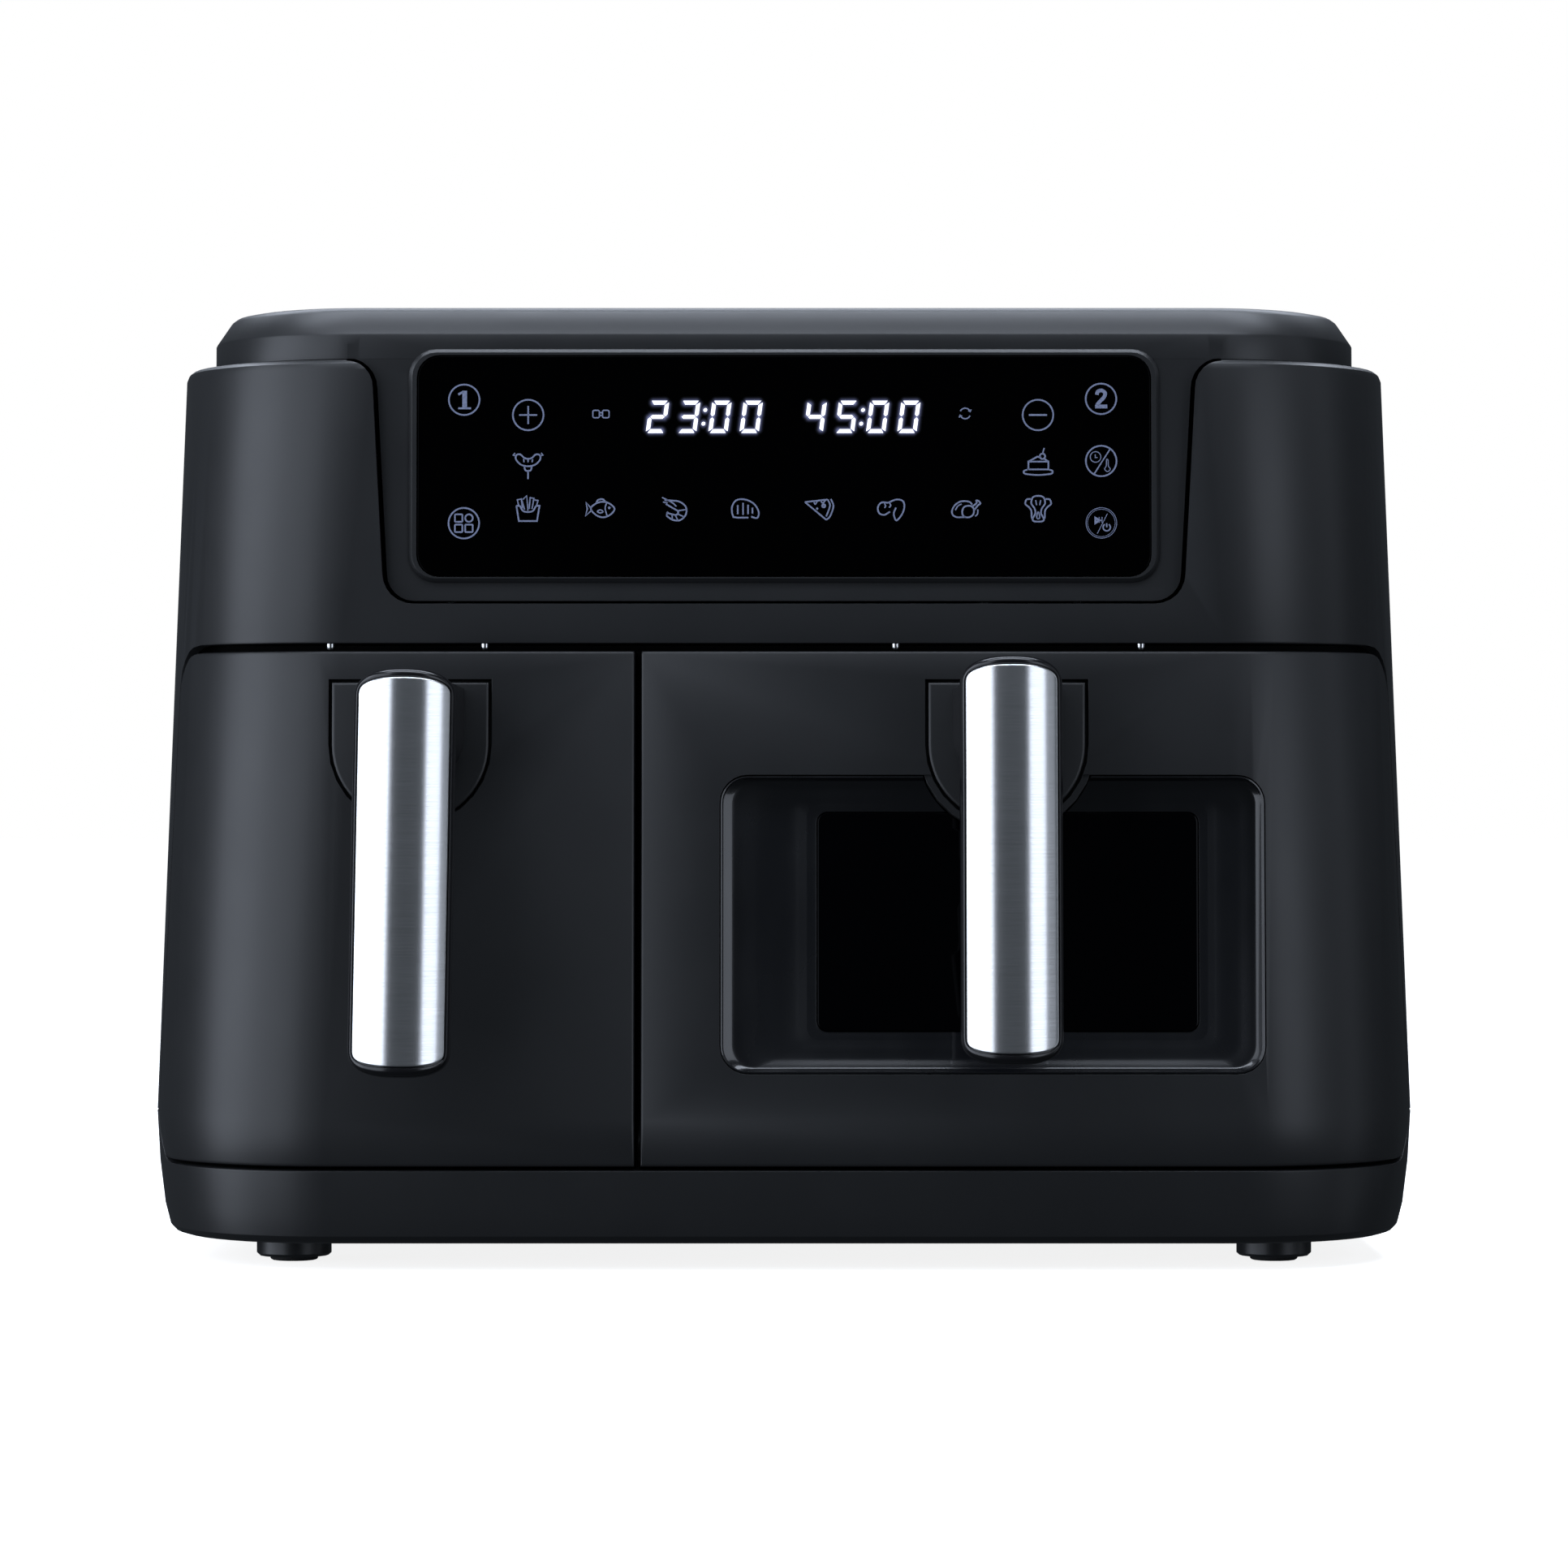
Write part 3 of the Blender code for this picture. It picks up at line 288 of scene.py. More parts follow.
def shade(colour, factor):
    """A colour made darker or lighter."""
    return tuple(min(1.0, c * factor) for c in colour)


def moulded(name, colour, roughness, grain=1500.0, depth=0.02, level=0.5, edge_highlight_gain=1.6):
    """Moulded plastic: fine spark-eroded grain, faint clouding, and a painted highlight, the sharp convex edges
    painted a little lighter.
    """
    make = Finish(name)
    cloud = make.noise(9.0, 4.0)
    fine = make.noise(grain, 2.0)
    body = make.between(make.spread(cloud, 0.0, 1.0), shade(colour, 0.95), shade(colour, 1.05))
    # Painted highlight: convex edges, found by pointiness, are mixed towards a lighter tone of the colour.
    edge = make.add("ShaderNodeNewGeometry").outputs["Pointiness"]
    painted_edge_highlight = make.between(cloud, shade(colour, edge_highlight_gain), shade(colour, edge_highlight_gain * 1.25))
    make.join(make.mixed(make.spread(edge, 0.0, 0.6, 0.52, 0.62), body, painted_edge_highlight), "Base Color")
    make.join(make.spread(make.noise(40.0, 5.0), roughness - 0.015, roughness + 0.02), "Roughness")
    make.bump(fine, 0.35, depth * MM)
    make.set(Specular_IOR_Level=level)
    return make.material


def metal(name, colour, roughness, stretch, scratch, strength, anisotropic=0.0, uv=None, uneven=0.055):
    """Metal with fine lines drawn out along one axis, in its colour, its gloss and its relief."""
    make = Finish(name)
    lines = make.noise(scratch, 4.0, stretch, 0.7)
    broad = make.noise(scratch * 0.12, 3.0, stretch, 0.6)
    tone = make.between(make.spread(lines, 0.0, 1.0), shade(colour, 0.86), shade(colour, 1.08))
    make.join(tone, "Base Color")
    make.join(make.spread(broad, roughness - uneven, roughness + uneven), "Roughness")
    make.bump(lines, strength, 0.02 * MM)
    make.set(Metallic=1.0, Anisotropic=anisotropic)
    if uv:
        tangent = make.add("ShaderNodeTangent", direction_type="UV_MAP", uv_map=uv)
        make.join(tangent.outputs["Tangent"], "Tangent")
    return make.material


def glossy(name, colour, roughness, coat=0.0, transmission=0.0, level=0.5):
    """Glass or polished plastic: smooth, with faint smears that change its gloss a little."""
    make = Finish(name)
    smears = make.noise(25.0, 5.0, (1.0, 1.0, 0.45))
    tone = make.between(make.spread(smears, 0.0, 1.0), shade(colour, 0.9), shade(colour, 1.12))
    make.join(tone, "Base Color")
    make.join(make.spread(smears, roughness * 0.75, roughness * 1.35), "Roughness")
    make.bump(make.noise(6.0, 1.0), 0.04, 0.05 * MM)
    make.set(Coat_Weight=coat, Transmission_Weight=transmission, Specular_IOR_Level=level)
    return make.material


def speckled(name, colour, fleck, roughness):
    """Baked non-stick coating: an orange-peel surface with small pale flecks."""
    make = Finish(name)
    cells = make.add("ShaderNodeTexVoronoi")
    cells.inputs["Scale"].default_value = 420.0
    make.join(make.place, cells.inputs["Vector"])
    flecks = make.spread(cells.outputs["Distance"], 1.0, 0.0, 0.06, 0.13)
    base = make.between(make.noise(14.0, 4.0), shade(colour, 0.85), shade(colour, 1.15))
    pale = make.between(make.noise(300.0), shade(fleck, 0.8), fleck)
    make.join(make.mixed(flecks, base, pale), "Base Color")
    make.join(make.spread(make.noise(60.0), roughness - 0.05, roughness + 0.08), "Roughness")
    make.bump(make.noise(700.0, 2.0), 0.3, 0.03 * MM)
    return make.material


def circuit(name):
    """A lacquered board: green mask over a fine grid of copper runs."""
    make = Finish(name)
    bricks = make.add("ShaderNodeTexBrick")
    bricks.inputs["Scale"].default_value = 260.0
    greens = {"Color1": (0.006, 0.055, 0.022), "Color2": (0.008, 0.07, 0.03), "Mortar": (0.02, 0.16, 0.07)}
    for socket, green in greens.items():
        bricks.inputs[socket].default_value = (*green, 1.0)
    turned = make.add("ShaderNodeMapping")
    turned.inputs["Rotation"].default_value = (math.radians(90.0), 0.0, 0.0)
    make.join(make.place, turned.inputs["Vector"])
    make.join(turned.outputs["Vector"], bricks.inputs["Vector"])
    make.join(bricks.outputs["Color"], "Base Color")
    make.join(make.spread(make.noise(90.0), 0.25, 0.4), "Roughness")
    make.bump(bricks.outputs["Fac"], 0.2, 0.05 * MM)
    return make.material


def lit(name, colour, strength):
    """A lit segment: an even light with a faint cloud in it."""
    make = Finish(name)
    cloud = make.spread(make.noise(350.0), 0.0, 1.0)
    make.join(make.between(cloud, shade(colour, 0.96), colour), "Emission Color")
    make.join(make.spread(make.noise(500.0), 0.25, 0.35), "Roughness")
    make.set(Emission_Strength=strength, Base_Color=shade(colour, 0.3))
    return make.material


def printed(name, colour):
    """Print on glass: a thin even ink with slightly broken density, which also gives off a faint painted glow in its
    own colour.
    """
    make = Finish(name)
    ink = make.spread(make.noise(1200.0, 2.0), 0.0, 1.0)
    make.join(make.between(ink, shade(colour, 0.85), shade(colour, 1.1)), "Base Color")
    # Painted glow: the ink gives off a fifth to a quarter of its own colour as light, though it is no lamp.
    make.join(make.between(ink, shade(colour, 0.2), shade(colour, 0.26)), "Emission Color")
    make.join(make.spread(ink, 0.35, 0.5), "Roughness")
    make.set(Emission_Strength=1.0)
    return make.material


def halo(name, colour):
    """The haze round a lit segment in the glass: its light follows the piece's own attribute."""
    make = Finish(name)
    near = make.add("ShaderNodeAttribute", attribute_name="near").outputs["Fac"]
    make.join(make.between(near, (0.0, 0.0, 0.0), colour), "Emission Color")
    make.join(make.spread(make.noise(25.0), 0.04, 0.07), "Roughness")
    make.set(Emission_Strength=1.0, Base_Color=(0.001, 0.001, 0.0012))
    return make.material


def painted_floor(name, colour):
    """Matt studio board with a barely visible tooth. It glows a little more the farther it is from the middle."""
    make = Finish(name)
    make.join(make.between(make.noise(3.0), shade(colour, 0.985), shade(colour, 1.0)), "Base Color")
    make.join(make.spread(make.noise(12.0), 0.75, 0.85), "Roughness")
    make.bump(make.noise(800.0), 0.05, 0.02 * MM)
    make.set(Emission_Color=(1.0, 1.0, 1.0))
    away = make.add("ShaderNodeVectorMath", operation="LENGTH")
    make.join(make.place, away.inputs[0])
    make.join(make.spread(away.outputs["Value"], 0.86, 1.0, 0.5, 1.6), "Emission Strength")
    return make.material


def finishes():
    """Every finish by name, as a function that makes it."""
    look = colours()
    plastic, black = tuple(look.plastic), tuple(look.black)
    steel, aluminium = (0.88, 0.885, 0.89), (0.5, 0.51, 0.52)
    lengthways, even = (1.0, 1.0, 60.0), (1.0, 1.0, 1.0)
    return {
        "housing_plastic": lambda n: moulded(n, plastic, 0.38),
        "black_plastic": lambda n: moulded(n, black, 0.36, 1300.0, 0.015),
        "grip_plastic": lambda n: moulded(n, black, 0.2, 1600.0, 0.006, 0.6),
        "rubber": lambda n: moulded(n, (0.012, 0.012, 0.012), 0.8, 900.0, 0.04, 0.3),
        "silicone": lambda n: moulded(n, (0.2, 0.2, 0.21), 0.6, 900.0, 0.02, 0.4, 1.1),
        "smoked_plastic": lambda n: glossy(n, (0.005, 0.0055, 0.007), 0.25, 0.7),
        "display_glass": lambda n: glossy(n, (0.0003, 0.0003, 0.0004), 0.05, level=0.06),
        "window_glass": lambda n: glossy(n, (0.0004, 0.0005, 0.0009), 0.05, level=0.12),
        "clear_glass": lambda n: glossy(n, (0.25, 0.26, 0.27), 0.03, transmission=0.9),
        "brushed_steel": lambda n: metal(n, steel, 0.25, lengthways, 75.0, 0.025, 0.75, "brushing", 0.008),
        "bright_steel": lambda n: metal(n, (0.8, 0.8, 0.81), 0.14, (1.0, 1.0, 6.0), 300.0, 0.06),
        "sheet_steel": lambda n: metal(n, (0.42, 0.42, 0.43), 0.36, (1.0, 18.0, 18.0), 40.0, 0.12),
        "cast_aluminium": lambda n: metal(n, aluminium, 0.42, even, 500.0, 0.25),
        "nonstick_coating": lambda n: speckled(n, (0.011, 0.011, 0.012), (0.07, 0.07, 0.07), 0.42),
        "circuit_board": circuit,
        "printed_symbol": lambda n: printed(n, tuple(look.symbol)),
        "lit_digit": lambda n: lit(n, tuple(look.lit), 1.6),
        "digit_halo": lambda n: halo(n, (0.17, 0.19, 0.36)),
        "studio_floor": lambda n: painted_floor(n, tuple(look.floor)),
    }


def finish(name):
    """The finish of this name, made when it is first asked for. The frame's plain ones have the bare names."""
    own = "fryer_" + name
    return bpy.data.materials.get(own) or finishes()[name](own)


# Drawing helpers.


def laid(matrix, points):
    """Points moved and turned by a matrix."""
    turn = np.array(matrix)
    return np.asarray(points, float) @ turn[:3, :3].T + turn[:3, 3]


def linked(name, data):
    """A new object in the scene that holds this mesh, lamp or camera."""
    made = bpy.data.objects.new(name, data)
    bpy.context.scene.collection.objects.link(made)
    return made


def column(mesh_list, key, width, kind=np.float32):
    """One property of every vertex or corner of a mesh, as rows of an array."""
    values = np.empty(width * len(mesh_list), kind)
    mesh_list.foreach_get(key, values)
    return values.reshape(-1, width)


def build(name, points, faces):
    """A mesh object in metres with doubled points merged and its faces turned outwards."""
    mesh = bpy.data.meshes.new(name)
    mesh.from_pydata((np.asarray(points, float).reshape(-1, 3) * MM).tolist(), [], faces)
    shape = bmesh.new()
    shape.from_mesh(mesh)
    bmesh.ops.remove_doubles(shape, verts=shape.verts, dist=1e-6)
    bmesh.ops.dissolve_degenerate(shape, edges=shape.edges, dist=1e-7)
    bmesh.ops.recalc_face_normals(shape, faces=shape.faces)
    shape.to_mesh(mesh)
    shape.free()
    return linked(name, mesh)


def grid_faces(rows, around, loop=False, start=0):
    """Quads between neighbours on a grid: each row closes on itself, and the rows can too."""
    row = np.arange(rows if loop else rows - 1)[:, None]
    place = np.arange(around)[None, :]
    here, above = row * around, (row + 1) % rows * around
    on = (place + 1) % around
    quads = np.stack(np.broadcast_arrays(here + place, here + on, above + on, above + place), -1)
    return (quads.reshape(-1, 4) + start).tolist()


def rings(name, points, loop=False):
    """The surface through closed rings of equal count, its two ends capped or joined to each other."""
    count, around = points.shape[:2]
    faces = grid_faces(count, around, loop)
    if not loop:
        faces += [list(range(around)), list(range((count - 1) * around, count * around))]
    return build(name, points, faces)


def shaded(obj, edge=0.0, angle=30.0, segments=2):
    """Smooth shading, with a small rounding on the sharp edges when it is asked for."""
    obj.data.shade_smooth()
    if not edge:
        obj.data.set_sharp_from_angle(angle=math.radians(angle))
        return obj
    bevel = obj.modifiers.new("edges", "BEVEL")
    bevel.width = edge
    bevel.segments = segments
    bevel.limit_method = "ANGLE"
    bevel.angle_limit = math.radians(angle)
    bevel.harden_normals = True
    return obj


def placed(obj, body, look, slot, *nodes):
    """Gives a piece its finish, hangs it on its body and hides the nodes it stands for. Its slot is not used."""
    obj.data.materials.clear()
    obj.data.materials.append(finish(look))
    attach(obj, body)
    if nodes:
        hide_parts(*nodes)
    return obj


def merged(node, name):
    """A copy of a CAD node with its loose triangles joined and its flat faces made whole."""
    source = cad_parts[node].data
    points = column(source.vertices, "co", 3)
    corners = column(source.loops, "vertex_index", 1, np.int32)
    mesh = bpy.data.meshes.new(name)
    mesh.from_pydata(points.tolist(), [], corners.reshape(-1, 3).tolist())
    shape = bmesh.new()
    shape.from_mesh(mesh)
    bmesh.ops.remove_doubles(shape, verts=shape.verts, dist=2e-6)
    bmesh.ops.dissolve_degenerate(shape, edges=shape.edges, dist=1e-6)
    bmesh.ops.dissolve_limit(shape, angle_limit=math.radians(0.4), verts=shape.verts, edges=shape.edges)
    shape.to_mesh(mesh)
    shape.free()
    return linked(name, mesh)


def dressed(node, body, look, edge=None, slot=None, segments=2):
    """A CAD node's shape with rounded edges and its finish. Its slot, the finish's name unless one is given, is
    handed on but not used.
    """
    rounding = sizes().edge if edge is None else edge * MM
    obj = shaded(merged(node, node + "_finished"), rounding, segments=segments)
    return placed(obj, body, look, slot or look, node)


def arc(x, y, radius_x, radius_y, start, end, steps):
    """Points on an elliptical arc, angles in degrees."""
    turn = np.radians(np.linspace(start, end, steps + 1))
    return np.stack([x + radius_x * np.cos(turn), y + radius_y * np.sin(turn)], -1)


def rounded(left, right, low, high, radius, steps=8):
    """A rectangle with round corners: four quarter arcs, anticlockwise from the lower left."""
    corners = ((left + radius, low + radius, 180), (right - radius, low + radius, 270))
    corners += ((right - radius, high - radius, 0), (left + radius, high - radius, 90))
    return np.concatenate([arc(x, y, radius, radius, a, a + 90, steps) for x, y, a in corners])


def turned(name, profile, matrix, steps):
    """A profile turned about an upright axis: x is r cos t, y is r sin t, z is the height."""
    profile = np.array(profile, float)
    turn = np.linspace(0.0, math.tau, steps, endpoint=False)
    radius = profile[:, 0, None]
    height = np.broadcast_to(profile[:, 1, None], (len(profile), steps))
    points = np.stack([radius * np.cos(turn), radius * np.sin(turn), height], -1)
    return rings(name, laid(matrix, points))


def cut(target, tool):
    """Takes the tool's volume from the target and removes the tool."""
    step = target.modifiers.new("step", "BOOLEAN")
    step.operation = "DIFFERENCE"
    step.solver = "EXACT"
    step.object = tool
    bpy.context.view_layer.update()
    graph = bpy.context.evaluated_depsgraph_get()
    result = bpy.data.meshes.new_from_object(target.evaluated_get(graph))
    target.modifiers.remove(step)
    target.data = result
    bpy.data.objects.remove(tool)
    return target


def join_meshes(name, parts):
    """One object from several, each already in its place."""
    shape = bmesh.new()
    for part in parts:
        shape.from_mesh(part.data)
        bpy.data.objects.remove(part)
    mesh = bpy.data.meshes.new(name)
    shape.to_mesh(mesh)
    shape.free()
    return linked(name, mesh)


# The housing.

HOUSING = (
    ("base_tray", "housing_plastic"),
    ("body_shell", "housing_plastic"),
    ("top_cover", "housing_plastic"),
    ("front_frame", "black_plastic"),
    ("rear_cover", "black_plastic"),
)


class FRYER_OT_housing(bpy.types.Operator):
    """Makes the moulded housing: base, shell, top cover with the fascia, inner frame and rear cover"""

    bl_idname = "fryer.housing"
    bl_label = "Housing"

    def execute(self, context):
        for node, look in HOUSING:
            dressed(node, "housing", look, segments=3)
        return {"FINISHED"}


# The display.


def smooth(points, closed=False, steps=7):
    """A Catmull-Rom curve: between two points it is the cubic whose slopes are half the step across them."""
    p = np.array(points, float)
    if closed:
        before, here, there, after = (np.roll(p, k, 0) for k in (1, 0, -1, -2))
    else:
        padded = np.concatenate([p[:1] * 2 - p[1:2], p, p[-1:] * 2 - p[-2:-1]])
        before, here, there, after = padded[:-3], padded[1:-2], padded[2:-1], padded[3:]
    t = np.linspace(0.0, 1.0, steps, endpoint=False)[None, :, None]
    before, here, there, after = (a[:, None, :] for a in (before, here, there, after))
    curve = here + 0.5 * t * (there - before)
    curve += t**2 * (before - 2.5 * here + 2.0 * there - 0.5 * after)
    curve += 0.5 * t**3 * (3.0 * (here - there) + after - before)
    curve = curve.reshape(-1, 2)
    return curve if closed else np.concatenate([curve, p[-1:]])


def circle(x, z, radius, steps=40):
    """Points round a circle, the first not repeated."""
    return arc(x, z, radius, radius, 0, 360, steps)[:-1]


def offset(line, closed, half):
    """The line moved sideways by half its width, each corner mitred."""
    if closed:
        back, on = line - np.roll(line, 1, 0), np.roll(line, -1, 0) - line
    else:
        steps = np.diff(line, axis=0)
        back, on = np.concatenate([steps[:1], steps]), np.concatenate([steps, steps[-1:]])
    across = [np.stack([-d[:, 1], d[:, 0]], -1) for d in (back, on)]
    total = sum(side / np.linalg.norm(side, axis=1, keepdims=True) for side in across)
    return total * 2.0 * half / np.maximum((total**2).sum(1, keepdims=True), 1.2)


def upright(outline, depth):
    """An outline in x and z, stood up at a depth behind the face: one depth, or one for each point."""
    return np.stack([outline[..., 0], np.broadcast_to(depth, outline.shape[:-1]), outline[..., 1]], -1)


def ribbon(line, closed, width, near, far):
    """A line of constant width on the front panel: four corners of a flat bar at each of its points."""
    side = offset(line, closed, width / 2.0)
    corners = ((line + side, near), (line - side, near), (line - side, far), (line + side, far))
    return np.stack([upright(edge, depth) for edge, depth in corners], 1)


def strokes(name, lines, near, far):
    """One piece from many strokes, each a line, whether it closes, and its width."""
    points, faces, start = [], [], 0
    for line, closed, width in lines:
        bar = ribbon(np.array(line, float), closed, width, near, far)
        count = len(bar)
        faces += grid_faces(count, 4, closed, start)
        if not closed:
            last = start + 4 * (count - 1)
            faces += [list(range(start, start + 4)), list(range(last + 3, last - 1, -1))]
        points.append(bar.reshape(-1, 3))
        start += 4 * count
    return build(name, laid(PANEL, np.concatenate(points)), faces)


# A symbol's strokes, each as its points, whether it closes, and its width. Places are x, z, x, z and so on.


def pairs(places):
    return np.reshape(places, (-1, 2)).astype(float)


def stroke(width, *places):
    return pairs(places), False, width


def wedge(width, *places):
    return pairs(places), True, width


def sweep(width, *places):
    return smooth(pairs(places)), False, width


def blob(width, *places):
    return smooth(pairs(places), True), True, width


def hoop(width, *size):
    return circle(*size), True, width


def bow(width, *size):
    return arc(*size), False, width


def tile(width, *size):
    return rounded(*size), True, width


KEY_RING = 4.9


